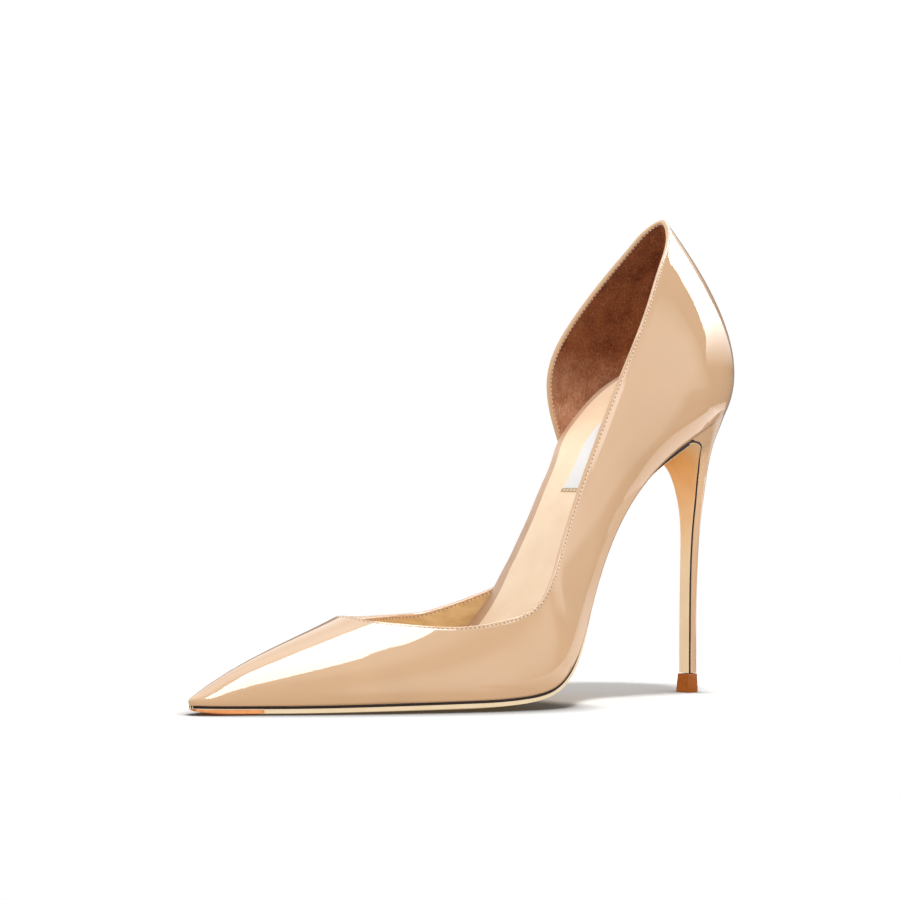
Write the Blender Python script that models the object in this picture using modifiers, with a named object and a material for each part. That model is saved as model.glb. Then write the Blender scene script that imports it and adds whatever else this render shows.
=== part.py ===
"""A left high-heeled pump: pointed toe, slim tall heel, inner side cut away between vamp and heel cup.

Sizes are millimetres until a mesh is made, which is in metres. A place on the last is given by "along", the
share of its bottom line from the toe tip to the back of the heel seat, and by "side", positive on the outer
side of the foot. "back" is the level distance behind the toe tip. The model's X points to the toe, its Y to
the outer side and its Z up, with the floor at Z = 0.
"""
from collections import namedtuple
import math

import bmesh
import bpy
import numpy as np

MM = 0.001
GAP = 0.3
OUTER = 1
INNER = -1

# Driving sizes of the last
LAST_LENGTH = 220.0
HEEL_RISE = 99.0
BALL_WIDTH = 70.0
INSTEP = 60.0
TOE_SPRING = 0.5
TOE_SWING = -2.0
CROWN_RADIUS = 500.0
SPRING_END = 0.21
TREAD_END = 0.40
CROWN_FADE = (0.50, 0.75)

# Thickness of the layers
UPPER_WALL = 1.5
SOLE_CENTRE = 2.3
SOLE_EDGE = 1.9
SOLE_WAIST = 1.2
SOLE_RAND = 0.8
FLAP_THICKNESS = 1.0
SOCK_THICKNESS = 1.2
TAP_LENGTH = 20.0

# The sole's underside: flat over a share of its width, then bevelled. From the ball to the waist the sole is
# thinner, and its edge draws in under the upper until the seat
SOLE_FLAT_SHARE = 0.5
BEVEL_POWER = 1.5
WAIST_BEVEL = 0.1
WAIST_RUN = (0.40, 0.56)
WAIST_INSET = 1.4
WAIST_END = (0.74, 0.84)

# The shoe stands on four corners of the tread, at two places along it. The sole is a little hollow elsewhere
TREAD_BEARINGS = (0.195, 0.335)
TREAD_HOLLOW = 0.15
TREAD_REACH = 0.03

# Heel and top piece
TOP_PIECE_HEIGHT = 6.4
TOP_PIECE_FLARE = 0.4
TOP_PIECE_OVERHANG = 0.3
SEAT_FRONT = 190.0
SEAT_INSET = 0.6
FLAP_START = 186.0
ROUNDNESS = 2.6

# Middle of the shoe's box, behind the toe tip and to the outer side
ORIGIN_BACK = 110.65
ORIGIN_SIDE = 1.05

# Height of the last's bottom line behind the tread: shares of LAST_LENGTH and HEEL_RISE
Arch = namedtuple("Arch", "back height")
ARCH = [
    Arch(0.400, 0.000),
    Arch(0.472, 0.006),
    Arch(0.535, 0.036),
    Arch(0.589, 0.140),
    Arch(0.643, 0.314),
    Arch(0.694, 0.496),
    Arch(0.745, 0.656),
    Arch(0.805, 0.787),
    Arch(0.896, 0.902),
    Arch(1.000, 1.000),
]

# Half widths of the last's bottom: shares of BALL_WIDTH
Width = namedtuple("Width", "along outer inner")
WIDTHS = [
    Width(0.012, 0.023, 0.077),
    Width(0.045, 0.081, 0.131),
    Width(0.130, 0.226, 0.246),
    Width(0.250, 0.391, 0.409),
    Width(0.345, 0.490, 0.489),
    Width(0.430, 0.521, 0.471),
    Width(0.500, 0.511, 0.386),
    Width(0.580, 0.418, 0.296),
    Width(0.670, 0.335, 0.290),
    Width(0.750, 0.315, 0.326),
    Width(0.850, 0.339, 0.354),
    Width(0.930, 0.307, 0.312),
    Width(0.980, 0.179, 0.181),
]

# Ribs of the last, from the bottom's edge to the crest line over the foot. The crest lies ahead of the
# bottom line by lean and over it by lift; rise is the length and flare the outward angle of the rib's first
# tangent, spread the reach and drop the fall of its last one. Lean, lift, rise and drop are shares of INSTEP.
Rib = namedtuple("Rib", "along lean lift rise flare spread drop")
RIBS = [
    Rib(0.00, -0.025, 0.045, 0.042, 35.0, 0.30, 0.000),
    Rib(0.04, 0.013, 0.125, 0.070, 28.0, 0.45, 0.000),
    Rib(0.12, 0.033, 0.272, 0.125, 24.0, 0.50, 0.000),
    Rib(0.22, 0.013, 0.432, 0.190, 20.0, 0.52, 0.000),
    Rib(0.33, 0.083, 0.620, 0.260, 14.0, 0.56, 0.000),
    Rib(0.45, 0.200, 0.883, 0.333, 10.0, 0.60, 0.033),
    Rib(0.58, 0.383, 0.980, 0.367, 10.0, 0.70, 0.133),
    Rib(0.72, 0.450, 1.130, 0.367, 14.0, 0.80, 0.233),
    Rib(0.86, 0.633, 1.170, 0.383, 26.0, 0.86, 0.300),
    Rib(1.00, 0.583, 1.190, 0.383, 43.0, 0.90, 0.367),
]
CREST_SWING_END = 0.45
HEEL_REACH = 24.0
HEEL_BLEND = (0.55, 0.80)

# Edges of the upper: share of the way round the bottom's edge, from the toe tip to the heel, and share of
# the rib's height there
Edge = namedtuple("Edge", "share height")
THROAT_ALONG = 0.231
OUTER_TOPLINE = [
    Edge(0.252, 0.764),
    Edge(0.276, 0.656),
    Edge(0.316, 0.534),
    Edge(0.364, 0.454),
    Edge(0.412, 0.414),
    Edge(0.462, 0.386),
    Edge(0.536, 0.348),
    Edge(0.600, 0.336),
    Edge(0.660, 0.346),
    Edge(0.732, 0.386),
    Edge(0.800, 0.466),
    Edge(0.864, 0.592),
    Edge(0.908, 0.696),
    Edge(0.955, 0.786),
    Edge(1.000, 0.842),
]
INNER_TOPLINE = [
    Edge(0.250, 0.764),
    Edge(0.276, 0.650),
    Edge(0.328, 0.504),
    Edge(0.378, 0.412),
    Edge(0.426, 0.348),
    Edge(0.476, 0.278),
    Edge(0.520, 0.196),
    Edge(0.558, 0.110),
    Edge(0.584, 0.040),
]
CUP_TOPLINE = [
    Edge(0.804, 0.300),
    Edge(0.812, 0.350),
    Edge(0.834, 0.426),
    Edge(0.858, 0.488),
    Edge(0.884, 0.562),
    Edge(0.914, 0.662),
    Edge(0.946, 0.764),
    Edge(0.972, 0.820),
    Edge(1.000, 0.842),
]
CUP_FOOT_SHARE = 0.776

# Breast and rear of the heel, from the seat down. The sole's flap lies on the breast, and bends over to it
# at FLAP_TOP
Heel = namedtuple("Heel", "breast_back breast_height half_width rear_back rear_height")
HEEL = [
    Heel(199.3, 85.2, 16.5, 216.2, 95.5),
    Heel(203.1, 82.6, 12.2, 215.7, 89.5),
    Heel(206.5, 78.3, 8.2, 215.5, 82.5),
    Heel(208.1, 73.0, 5.9, 215.2, 75.5),
    Heel(209.0, 66.5, 4.3, 214.7, 67.5),
    Heel(209.3, 61.0, 3.3, 214.2, 61.3),
    Heel(209.2, 51.0, 2.5, 213.6, 51.0),
    Heel(209.0, 32.0, 2.3, 213.0, 32.0),
    Heel(209.3, 6.7, 2.3, 213.4, 6.7),
]
Breast = namedtuple("Breast", "back height half_width")
FLAP_TOP = Breast(193.2, 86.8, 20.6)

# Thickness of the insole along the foot
Layer = namedtuple("Layer", "along thickness")
INSOLE = [
    Layer(0.05, 1.6),
    Layer(0.35, 2.0),
    Layer(0.58, 3.0),
    Layer(0.70, 4.2),
    Layer(0.78, 6.4),
    Layer(0.84, 8.2),
    Layer(1.00, 8.4),
]
INSOLE_START = 0.06
SOCK_START = 0.10
INSOLE_INSET = UPPER_WALL + 0.4
BARE_INSET = 0.3
BARE_START = (0.60, 0.65)
BARE_END = (0.75, 0.80)
SOCK_INSET = 1.0
SEAT_ROUNDING = 0.96

# Faces along each piece, crowded towards the toe, the top of the flap and the back of the heel
RIB_ROWS = 9
TOE_COLUMNS = 13
OUTER_COLUMNS = 46
INNER_COLUMNS = 20
CUP_COLUMNS = 22
TIP_ROWS = 9
SOLE_ROWS = 38
FLAP_ROWS = 20
INSOLE_ROWS = 38
HEEL_RINGS = 27
HALF_RING = 9
ACROSS = np.linspace(-1.0, 1.0, 9)
TOE_CROWDING = 1.5
FLAP_CROWDING = 1.3
HEEL_CROWDING = 1.5
TIP_START = 0.1

# How finely curves are sampled, and how far to either side of a place its slope is taken
SAMPLES = 1500
ALONG_REACH = 0.002
SHARE_REACH = 0.001
SLOPE_REACH = 0.5
MERGE_DISTANCE = 0.00001
SHARP_DEGREES = 40.0


class Spline:
    """A cubic through (knot, value) pairs, with natural ends, given end slopes, or closed on itself."""

    def __init__(self, knots, values, start=None, end=None, closed=False):
        self.knots = np.asarray(knots, float)
        self.values = np.asarray(values, float)
        count = len(self.knots)
        step = np.diff(self.knots)
        slope = np.diff(self.values) / step
        matrix = np.eye(count)
        target = np.zeros(count)
        for i in range(1, count - 1):
            matrix[i, i - 1:i + 2] = step[i - 1], 2 * (step[i - 1] + step[i]), step[i]
            target[i] = 6 * (slope[i] - slope[i - 1])
        if start is not None:
            matrix[0, :2] = 2 * step[0], step[0]
            target[0] = 6 * (slope[0] - start)
        if end is not None:
            matrix[-1, -2:] = step[-1], 2 * step[-1]
            target[-1] = 6 * (end - slope[-1])
        if closed:
            matrix[0, [0, 1, count - 2]] = 2 * (step[0] + step[-1]), step[0], step[-1]
            target[0] = 6 * (slope[0] - slope[-1])
            matrix[-1, 0] = -1.0
        self.bend = np.linalg.solve(matrix, target)

    def __call__(self, place):
        place = np.asarray(place, float)
        i = np.clip(np.searchsorted(self.knots, place) - 1, 0, len(self.knots) - 2)
        step = self.knots[i + 1] - self.knots[i]
        before = (self.knots[i + 1] - place) / step
        after = (place - self.knots[i]) / step
        bow = (before ** 3 - before) * self.bend[i] + (after ** 3 - after) * self.bend[i + 1]
        return before * self.values[i] + after * self.values[i + 1] + bow * step ** 2 / 6


def run_length(points):
    """Distance from the first point to each point of a line."""
    steps = np.linalg.norm(np.diff(np.asarray(points, float), axis=0), axis=1)
    return np.concatenate([[0.0], np.cumsum(steps)])


def ease(value, low, high):
    """0 below low, 1 above high, with a smooth change between them."""
    t = np.clip((np.asarray(value, float) - low) / (high - low), 0.0, 1.0)
    return t ** 3 * (t * (6 * t - 15) + 10)


def bottom_line():
    """Back and height of the last's bottom, on its middle line, from the toe tip to the heel."""
    tread = SOLE_CENTRE + GAP
    front = np.linspace(0.0, TREAD_END * LAST_LENGTH, SAMPLES)
    spring = TOE_SPRING * np.clip(1 - front / (SPRING_END * LAST_LENGTH), 0, 1) ** 2
    rows = [(row.back * LAST_LENGTH, tread + row.height * HEEL_RISE) for row in ARCH]
    knots = run_length(rows)
    place = np.linspace(0.0, knots[-1], SAMPLES)[1:]
    back = Spline(knots, [row[0] for row in rows], start=1.0)(place)
    height = Spline(knots, [row[1] for row in rows], start=0.0)(place)
    return np.concatenate([front, back]), np.concatenate([tread + spring, height])


BOTTOM_BACK, BOTTOM_HEIGHT = bottom_line()
BOTTOM_RUN = run_length(np.stack([BOTTOM_BACK, BOTTOM_HEIGHT], axis=1))
BOTTOM_ALONG = BOTTOM_RUN / BOTTOM_RUN[-1]


def along_at(back):
    return np.interp(back, BOTTOM_BACK, BOTTOM_ALONG)


def bottom_axes(along):
    """Unit vectors along the bottom line towards the heel, and square to it into the shoe."""
    ahead = np.clip(np.asarray(along, float) + ALONG_REACH, 0, 1)
    behind = np.clip(np.asarray(along, float) - ALONG_REACH, 0, 1)
    back = np.interp(ahead, BOTTOM_ALONG, BOTTOM_BACK) - np.interp(behind, BOTTOM_ALONG, BOTTOM_BACK)
    height = np.interp(ahead, BOTTOM_ALONG, BOTTOM_HEIGHT) - np.interp(behind, BOTTOM_ALONG, BOTTOM_HEIGHT)
    length = np.hypot(back, height)
    flat = np.zeros_like(length)
    heelward = np.stack([-back / length, flat, height / length], axis=-1)
    inward = np.stack([height / length, flat, back / length], axis=-1)
    return heelward, inward


def bed(along, side, above=0.0):
    """A point over the last's bottom, which is crowned across the ball and level across the seat."""
    along, side, above = np.broadcast_arrays(*(np.asarray(value, float) for value in (along, side, above)))
    crown = (1 - ease(along, *CROWN_FADE)) * side ** 2 / (2 * CROWN_RADIUS)
    back = np.interp(along, BOTTOM_ALONG, BOTTOM_BACK)
    height = np.interp(along, BOTTOM_ALONG, BOTTOM_HEIGHT)
    inward = bottom_axes(along)[1]
    return np.stack([-back, side, height], axis=-1) + inward * (crown + above)[..., None]


def bottom_rim():
    """The bottom's edge on each side: share of the way round, place along the bottom, and side."""
    length = BOTTOM_RUN[-1]
    loop = [(0.0, TOE_SWING)]
    loop += [(row.along * length, row.outer * BALL_WIDTH) for row in WIDTHS]
    loop += [(length, 0.0)]
    loop += [(row.along * length, -row.inner * BALL_WIDTH) for row in reversed(WIDTHS)]
    loop += [loop[0]]
    knots = run_length(loop)
    heel = knots[len(WIDTHS) + 1]
    along = Spline(knots, [row[0] for row in loop], closed=True)
    side = Spline(knots, [row[1] for row in loop], closed=True)
    rim = {}
    for which, start in ((OUTER, 0.0), (INNER, knots[-1])):
        place = np.linspace(start, heel, SAMPLES)
        run = run_length(np.stack([along(place), side(place)], axis=1))
        rim[which] = (run / run[-1], np.clip(along(place) / length, 0, 1), side(place))
    return rim


RIM = bottom_rim()


def half_width(which, along):
    """Side of the bottom's edge at a place along it."""
    return np.interp(along, RIM[which][1], RIM[which][2])


def rim_share(which, along):
    return np.interp(along, RIM[which][1], RIM[which][0])


def rim_point(which, share):
    """Place along, side, point and outward direction at a share of the way round the bottom's edge."""
    shares, alongs, sides = RIM[which]
    ahead = share + SHARE_REACH
    behind = share - SHARE_REACH
    along = np.interp(share, shares, alongs)
    side = np.interp(share, shares, sides)
    run = (np.interp(ahead, shares, alongs) - np.interp(behind, shares, alongs)) * BOTTOM_RUN[-1]
    swing = np.interp(ahead, shares, sides) - np.interp(behind, shares, sides)
    length = np.hypot(run, swing)
    heelward, _ = bottom_axes(along)
    sideways = np.array([0.0, 1.0, 0.0])
    out = which * ((run / length)[..., None] * sideways - (swing / length)[..., None] * heelward)
    return along, side, bed(along, side), out


RIB_COLUMNS = {name: Spline([row.along for row in RIBS], [getattr(row, name) for row in RIBS])
               for name in Rib._fields[1:]}


def rib_points(which, share):
    """Four Bezier points of the rib that starts at a share of the bottom's edge."""
    along, side, foot, out = rim_point(which, np.asarray(share, float))
    inward = bottom_axes(along)[1]
    lean, lift, rise, flare, spread, drop = (column(along) for column in RIB_COLUMNS.values())
    angle = np.radians(flare)[..., None]
    first = foot + (rise * INSTEP)[..., None] * (np.cos(angle) * inward + np.sin(angle) * out)
    crest_side = TOE_SWING * np.clip(1 - along / CREST_SWING_END, 0, 1) ** 2
    crest = bed(along, 0.0) + INSTEP * np.stack([lean, 0 * lean, lift], axis=-1)
    crest[..., 1] = crest_side
    level = out * np.array([1.0, 1.0, 0.0])
    level = level / np.linalg.norm(level, axis=-1, keepdims=True)
    heelness = ease(along, *HEEL_BLEND)[..., None]
    across = (side - crest_side)[..., None] * np.array([0.0, 1.0, 0.0])
    reach = (1 - heelness) * across + heelness * HEEL_REACH * level
    last = crest + spread[..., None] * reach - (drop * INSTEP)[..., None] * np.array([0.0, 0.0, 1.0])
    return foot, first, last, crest


def skin(which, share, height):
    """A point on the upper's outer face, at a share of the bottom's edge and of the rib's height."""
    foot, first, last, crest = rib_points(which, share)
    up = np.asarray(height, float)[..., None]
    down = 1 - up
    return down ** 3 * foot + 3 * down ** 2 * up * first + 3 * down * up ** 2 * last + up ** 3 * crest


def edge_line(rows, throat_share=None, level_end=False):
    """Splines of share and height along an edge of the upper, and their length.

    An edge that starts at the throat crosses the middle line square; one that ends at the heel is level
    there.
    """
    rows = list(rows)
    if throat_share is not None:
        rows.insert(0, Edge(throat_share, 1.0))
    knots = run_length(rows)
    start = 0.0 if throat_share is not None else None
    end = 0.0 if level_end else None
    share = Spline(knots, [row.share for row in rows], start=start)
    height = Spline(knots, [row.height for row in rows], end=end)
    return share, height, knots[-1]


def rib_column(which, share, top, foot_share=None):
    """Points of one column of the upper's face, from the bottom's edge to the given height."""
    height = np.linspace(0.0, top, RIB_ROWS + 1)
    foot_share = share if foot_share is None else foot_share
    return skin(which, foot_share + (share - foot_share) * height / top, height)


def upper_columns():
    """Columns of the upper's outer face, from the inner vamp round the toe and the heel to the inner cup."""
    throat = {which: rim_share(which, THROAT_ALONG) for which in (OUTER, INNER)}
    outer_share, outer_height, outer_end = edge_line(OUTER_TOPLINE, throat[OUTER], level_end=True)
    inner_share, inner_height, inner_end = edge_line(INNER_TOPLINE, throat[INNER])
    cup_share, cup_height, cup_end = edge_line(CUP_TOPLINE, level_end=True)
    columns = []
    for place in np.linspace(inner_end, 0.0, INNER_COLUMNS + 1):
        columns.append(rib_column(INNER, inner_share(place), inner_height(place)))
    toe_alongs = THROAT_ALONG * np.linspace(1.0, 0.0, TOE_COLUMNS + 1)[1:-1] ** TOE_CROWDING
    for along in toe_alongs:
        columns.append(rib_column(INNER, rim_share(INNER, along), 1.0))
    columns.append(rib_column(OUTER, 0.0, 1.0))
    for along in reversed(toe_alongs):
        columns.append(rib_column(OUTER, rim_share(OUTER, along), 1.0))
    for left in np.linspace(1.0, 0.0, OUTER_COLUMNS + 1) ** HEEL_CROWDING:
        place = outer_end * (1 - left)
        columns.append(rib_column(OUTER, outer_share(place), outer_height(place)))
    for left in np.linspace(0.0, 1.0, CUP_COLUMNS + 1)[1:] ** HEEL_CROWDING:
        place = cup_end * (1 - left)
        share = cup_share(place)
        foot = 1 - (1 - share) * (1 - CUP_FOOT_SHARE) / (1 - CUP_TOPLINE[0].share)
        columns.append(rib_column(INNER, share, cup_height(place), foot))
    return np.array(columns)


def sole_thickness(along):
    return np.interp(along, WAIST_RUN, (SOLE_CENTRE, SOLE_WAIST))


def tread_hollow(along):
    """How far the sole's underside lies over the level of the corners that it stands on."""
    off_row = min(abs(along - place) for place in TREAD_BEARINGS) / TREAD_REACH
    off_corner = np.clip(1 - np.abs(ACROSS) / SOLE_FLAT_SHARE, 0, 1)
    return TREAD_HOLLOW * np.minimum(np.maximum(off_row, off_corner), 1.0)


def sole_row(along, top, bottom=None):
    """One section of a layer of the sole: its upper points and its lower ones.

    The upper face lies at a depth below the last. The lower face is at a depth too, or is the sole's own
    underside, which is flat across its middle and rises to a thin edge.
    """
    inset = WAIST_INSET * ease(along, *WAIST_RUN) * (1 - ease(along, *WAIST_END))
    outer = half_width(OUTER, along) - inset
    inner = half_width(INNER, along) + inset
    side = np.where(ACROSS > 0, ACROSS * outer, -ACROSS * inner)
    upper = bed(along, side, -top)
    if bottom is not None:
        return upper, bed(along, side, -bottom)
    level = bed(along, 0.0, -GAP - sole_thickness(along))
    crown = bed(along, side)[:, 2] - bed(along, 0.0)[2]
    bevel = np.interp(along, WAIST_RUN, (SOLE_CENTRE - SOLE_EDGE, WAIST_BEVEL))
    share = np.clip((np.abs(ACROSS) - SOLE_FLAT_SHARE) / (1 - SOLE_FLAT_SHARE), 0, 1)
    inward = bottom_axes(along)[1]
    rise = bevel * share ** BEVEL_POWER + crown * share + tread_hollow(along)
    lower = level + inward * rise[:, None]
    lower[:, 1] = side
    return upper, lower


class BreastLine:
    """The line that the sole's flap follows: from the seat, over a bend, and down the breast of the heel."""

    def __init__(self):
        start = along_at(FLAP_START)
        seat = bed(start, 0.0, -GAP)
        heelward = bottom_axes(start)[0]
        rows = [Breast(-seat[0], seat[2], half_width(OUTER, start)), FLAP_TOP]
        rows += [Breast(row.breast_back, row.breast_height, row.half_width) for row in HEEL]
        self.knots = run_length([(row.back, row.height) for row in rows])
        self.back = Spline(self.knots, [row.back for row in rows], start=-heelward[0])
        self.height = Spline(self.knots, [row.height for row in rows], start=heelward[2])
        self.half_width = Spline(self.knots, [row.half_width for row in rows])

    def into_heel(self, place):
        """Unit steps back and up, square to the line, towards the heel."""
        behind = max(place - SLOPE_REACH, 0.0)
        ahead = min(place + SLOPE_REACH, self.knots[-1])
        run = self.back(ahead) - self.back(behind)
        climb = self.height(ahead) - self.height(behind)
        length = math.hypot(run, climb)
        return -climb / length, run / length


BREAST = BreastLine()


def flap_rows():
    """Sections of the sole's flap along the breast line."""
    sections = []
    for place in np.linspace(0.0, 1.0, FLAP_ROWS + 1)[1:] ** FLAP_CROWDING * BREAST.knots[-1]:
        back_step, up_step = BREAST.into_heel(place)
        out = np.array([back_step, 0.0, -up_step])
        inner = np.stack([np.full(len(ACROSS), -BREAST.back(place)), ACROSS * BREAST.half_width(place),
                          np.full(len(ACROSS), BREAST.height(place))], axis=1)
        sections.append((inner, inner + FLAP_THICKNESS * out))
    return sections


def insole_inset(along):
    """How far the insole lies in from the bottom's edge, on the outer and the inner side."""
    bare = ease(along, *BARE_START) * (1 - ease(along, *BARE_END))
    return INSOLE_INSET, INSOLE_INSET + (BARE_INSET - INSOLE_INSET) * bare


def bed_rows(start, inset, bottom, top):
    """Sections of a layer that lies in the shoe, between two heights over the last's bottom.

    All layers have their sections at the same places, so that they stay evenly apart.
    """
    turns = np.linspace(0.0, math.pi, INSOLE_ROWS + 1)
    places = INSOLE_START + (1 - INSOLE_START) * (1 - np.cos(turns)) / 2
    end = 1 - inset / BOTTOM_RUN[-1]
    rows = []
    for along in places[(places >= start) & (places < end)]:
        outer, inner = insole_inset(along)
        extra = inset - INSOLE_INSET
        low = half_width(INNER, along) + inner + extra
        high = half_width(OUTER, along) - outer - extra
        late = np.clip((along - SEAT_ROUNDING) / (end - SEAT_ROUNDING), 0, 1)
        rounding = math.sqrt(1 - late ** 2)
        middle = (low + high) / 2
        side = middle + ACROSS * (high - low) / 2 * rounding
        rows.append((bed(along, side, top(along)), bed(along, side, bottom(along))))
    return rows


def insole_thickness(along):
    return np.interp(along, [row.along for row in INSOLE], [row.thickness for row in INSOLE])


def heel_ring(front, front_height, rear, rear_height, half):
    """A D-shaped section: flat at the breast, round behind, and sloping from front to rear."""
    share = np.sin(np.linspace(0.0, math.pi / 2, HALF_RING))
    back = front + (rear - front) * share
    height = front_height + (rear_height - front_height) * share
    side = half * (1 - share ** ROUNDNESS) ** (1 / ROUNDNESS)
    outer = np.stack([-back, side, height], axis=1)
    inner = outer[-2::-1] * np.array([1.0, -1.0, 1.0])
    return np.concatenate([outer, inner])


def seat_ring():
    """The heel's top edge, which follows the edge of the last's bottom just inside it."""
    halves = []
    for which in (OUTER, INNER):
        start = rim_share(which, along_at(SEAT_FRONT))
        along, _, point, out = rim_point(which, np.linspace(start, 1.0, HALF_RING))
        inward = bottom_axes(along)[1]
        half = point - SEAT_INSET * out - GAP * inward
        half[-1, 1] = 0.0
        halves.append(half)
    return np.concatenate([halves[0], halves[1][-2::-1]])


def heel_rings():
    """Sections of the heel from the bottom up, the last one in its seat."""
    rows = []
    for row, place in zip(reversed(HEEL), reversed(BREAST.knots)):
        back_step, up_step = BREAST.into_heel(place)
        front = row.breast_back + GAP * back_step
        front_height = row.breast_height + GAP * up_step
        rows.append(heel_ring(front, front_height, row.rear_back, row.rear_height, row.half_width))
    rows = np.array(rows + [seat_ring()])
    knots = run_length(rows.mean(axis=1))
    places = np.linspace(0.0, knots[-1], HEEL_RINGS)
    rings = np.empty((HEEL_RINGS,) + rows.shape[1:])
    for point in range(rows.shape[1]):
        for axis in range(rows.shape[2]):
            rings[:, point, axis] = Spline(knots, rows[:, point, axis])(places)
    return rings


def metres(points):
    return (np.asarray(points) + np.array([ORIGIN_BACK, -ORIGIN_SIDE, 0.0])) * MM


def loft_faces(ring_count, ring_size):
    """Faces through closed rings, with the ends closed by strips between points that face each other."""
    faces = []
    for ring in range(ring_count - 1):
        for i in range(ring_size):
            j = (i + 1) % ring_size
            low = ring * ring_size
            high = low + ring_size
            faces.append((low + i, low + j, high + j, high + i))
    last = (ring_count - 1) * ring_size
    for i in range((ring_size - 1) // 2):
        facing = ring_size - 1 - i
        # The middle strip of an odd ring is a triangle
        strip = tuple(dict.fromkeys((i, facing, facing - 1, i + 1)))
        faces.append(strip)
        faces.append(tuple(last + k for k in reversed(strip)))
    return faces


def new_object(name, points, faces, material, collection):
    mesh = bpy.data.meshes.new(name)
    mesh.from_pydata([tuple(point) for point in metres(points)], [], faces)
    work = bmesh.new()
    work.from_mesh(mesh)
    bmesh.ops.remove_doubles(work, verts=work.verts, dist=MERGE_DISTANCE)
    bmesh.ops.recalc_face_normals(work, faces=work.faces)
    work.to_mesh(mesh)
    work.free()
    mesh.shade_smooth()
    mesh.set_sharp_from_angle(angle=math.radians(SHARP_DEGREES))
    mesh.materials.append(material)
    piece = bpy.data.objects.new(name, mesh)
    collection.objects.link(piece)
    return piece


def new_material(name, colour, roughness):
    material = bpy.data.materials.new(name)
    material.use_nodes = True
    shader = material.node_tree.nodes["Principled BSDF"]
    shader.inputs["Base Color"].default_value = (*colour, 1.0)
    shader.inputs["Roughness"].default_value = roughness
    shader.inputs["Metallic"].default_value = 0.0
    return material


def layer_object(name, rows, material, collection):
    """A solid through sections that each have an upper and a lower line of points."""
    rings = [np.concatenate([upper, lower[::-1]]) for upper, lower in rows]
    faces = loft_faces(len(rings), len(rings[0]))
    return new_object(name, np.concatenate(rings), faces, material, collection)


def make_upper(collection):
    columns = upper_columns()
    rows = columns.shape[1]
    faces = []
    for column in range(len(columns) - 1):
        for row in range(rows - 1):
            low = column * rows + row
            faces.append((low, low + rows, low + rows + 1, low + 1))
    material = new_material("patent leather", (0.70, 0.45, 0.28), 0.08)
    upper = new_object("upper", columns.reshape(-1, 3), faces, material, collection)
    wall = upper.modifiers.new("wall", "SOLIDIFY")
    wall.thickness = UPPER_WALL * MM
    wall.offset = -1.0
    return upper


def make_outsole(collection):
    tap_end = along_at(TAP_LENGTH)
    step = GAP / BOTTOM_RUN[-1]
    front = np.linspace(TIP_START, 1.0, TIP_ROWS) ** TOE_CROWDING * tap_end
    rest = np.linspace(tap_end + step, along_at(FLAP_START), SOLE_ROWS)
    rest = np.sort(np.concatenate([rest, TREAD_BEARINGS]))
    rows = [sole_row(along, GAP, GAP + SOLE_RAND) for along in front]
    rows += [sole_row(along, GAP) for along in rest]
    rows += flap_rows()
    material = new_material("sole leather", (0.85, 0.66, 0.42), 0.45)
    return layer_object("outsole", rows, material, collection)


def make_toe_tap(collection):
    tap_end = along_at(TAP_LENGTH - GAP)
    alongs = np.linspace(TIP_START, 1.0, TIP_ROWS) ** TOE_CROWDING * tap_end
    rows = [sole_row(along, 2 * GAP + SOLE_RAND) for along in alongs]
    material = new_material("tap rubber", (0.72, 0.27, 0.12), 0.6)
    return layer_object("toe_tap", rows, material, collection)


def make_insole(collection):
    rows = bed_rows(INSOLE_START, INSOLE_INSET, lambda along: 0.0, insole_thickness)
    material = new_material("insole leather", (0.62, 0.42, 0.28), 0.4)
    return layer_object("insole", rows, material, collection)


def make_sock(collection):
    def bottom(along):
        return insole_thickness(along) + GAP

    def top(along):
        return bottom(along) + SOCK_THICKNESS

    rows = bed_rows(SOCK_START, INSOLE_INSET + SOCK_INSET, bottom, top)
    material = new_material("sock leather", (0.90, 0.70, 0.50), 0.5)
    return layer_object("sock", rows, material, collection)


def make_heel(collection):
    rings = heel_rings()
    material = new_material("heel cover", (0.70, 0.45, 0.28), 0.08)
    faces = loft_faces(len(rings), len(rings[0]))
    return new_object("heel", np.concatenate(rings), faces, material, collection)


def make_top_piece(collection):
    foot = HEEL[-1]
    rings = []
    for height, grow in ((0.0, TOP_PIECE_FLARE), (TOP_PIECE_HEIGHT, 0.0)):
        reach = TOP_PIECE_OVERHANG + grow
        front = foot.breast_back - FLAP_THICKNESS - reach
        rear = foot.rear_back + reach
        rings.append(heel_ring(front, height, rear, height, foot.half_width + reach))
    material = new_material("top piece rubber", (0.32, 0.12, 0.02), 0.6)
    faces = loft_faces(len(rings), len(rings[0]))
    return new_object("top_piece", np.concatenate(rings), faces, material, collection)


def main():
    for old in list(bpy.data.objects):
        bpy.data.objects.remove(old)
    collection = bpy.data.collections.new("high heel")
    bpy.context.scene.collection.children.link(collection)
    make_upper(collection)
    make_outsole(collection)
    make_toe_tap(collection)
    make_insole(collection)
    make_sock(collection)
    make_heel(collection)
    make_top_piece(collection)


main()
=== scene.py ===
"""The looks of a left high-heeled pump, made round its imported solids.

Sizes are millimetres until a mesh is made, which is in metres. A place on the last is given by "along", the
share of its bottom line from the toe tip to the back of the heel seat, and by "side", positive on the outer
side of the foot. "back" is the level distance behind the toe tip. X points to the toe, Y to the outer side
and Z up, with the floor at Z = 0.
"""
from collections import namedtuple
import math

import bmesh
import bpy
import numpy as np
from mathutils import Matrix, Vector
from mathutils.bvhtree import BVHTree
from mathutils.kdtree import KDTree

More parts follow.
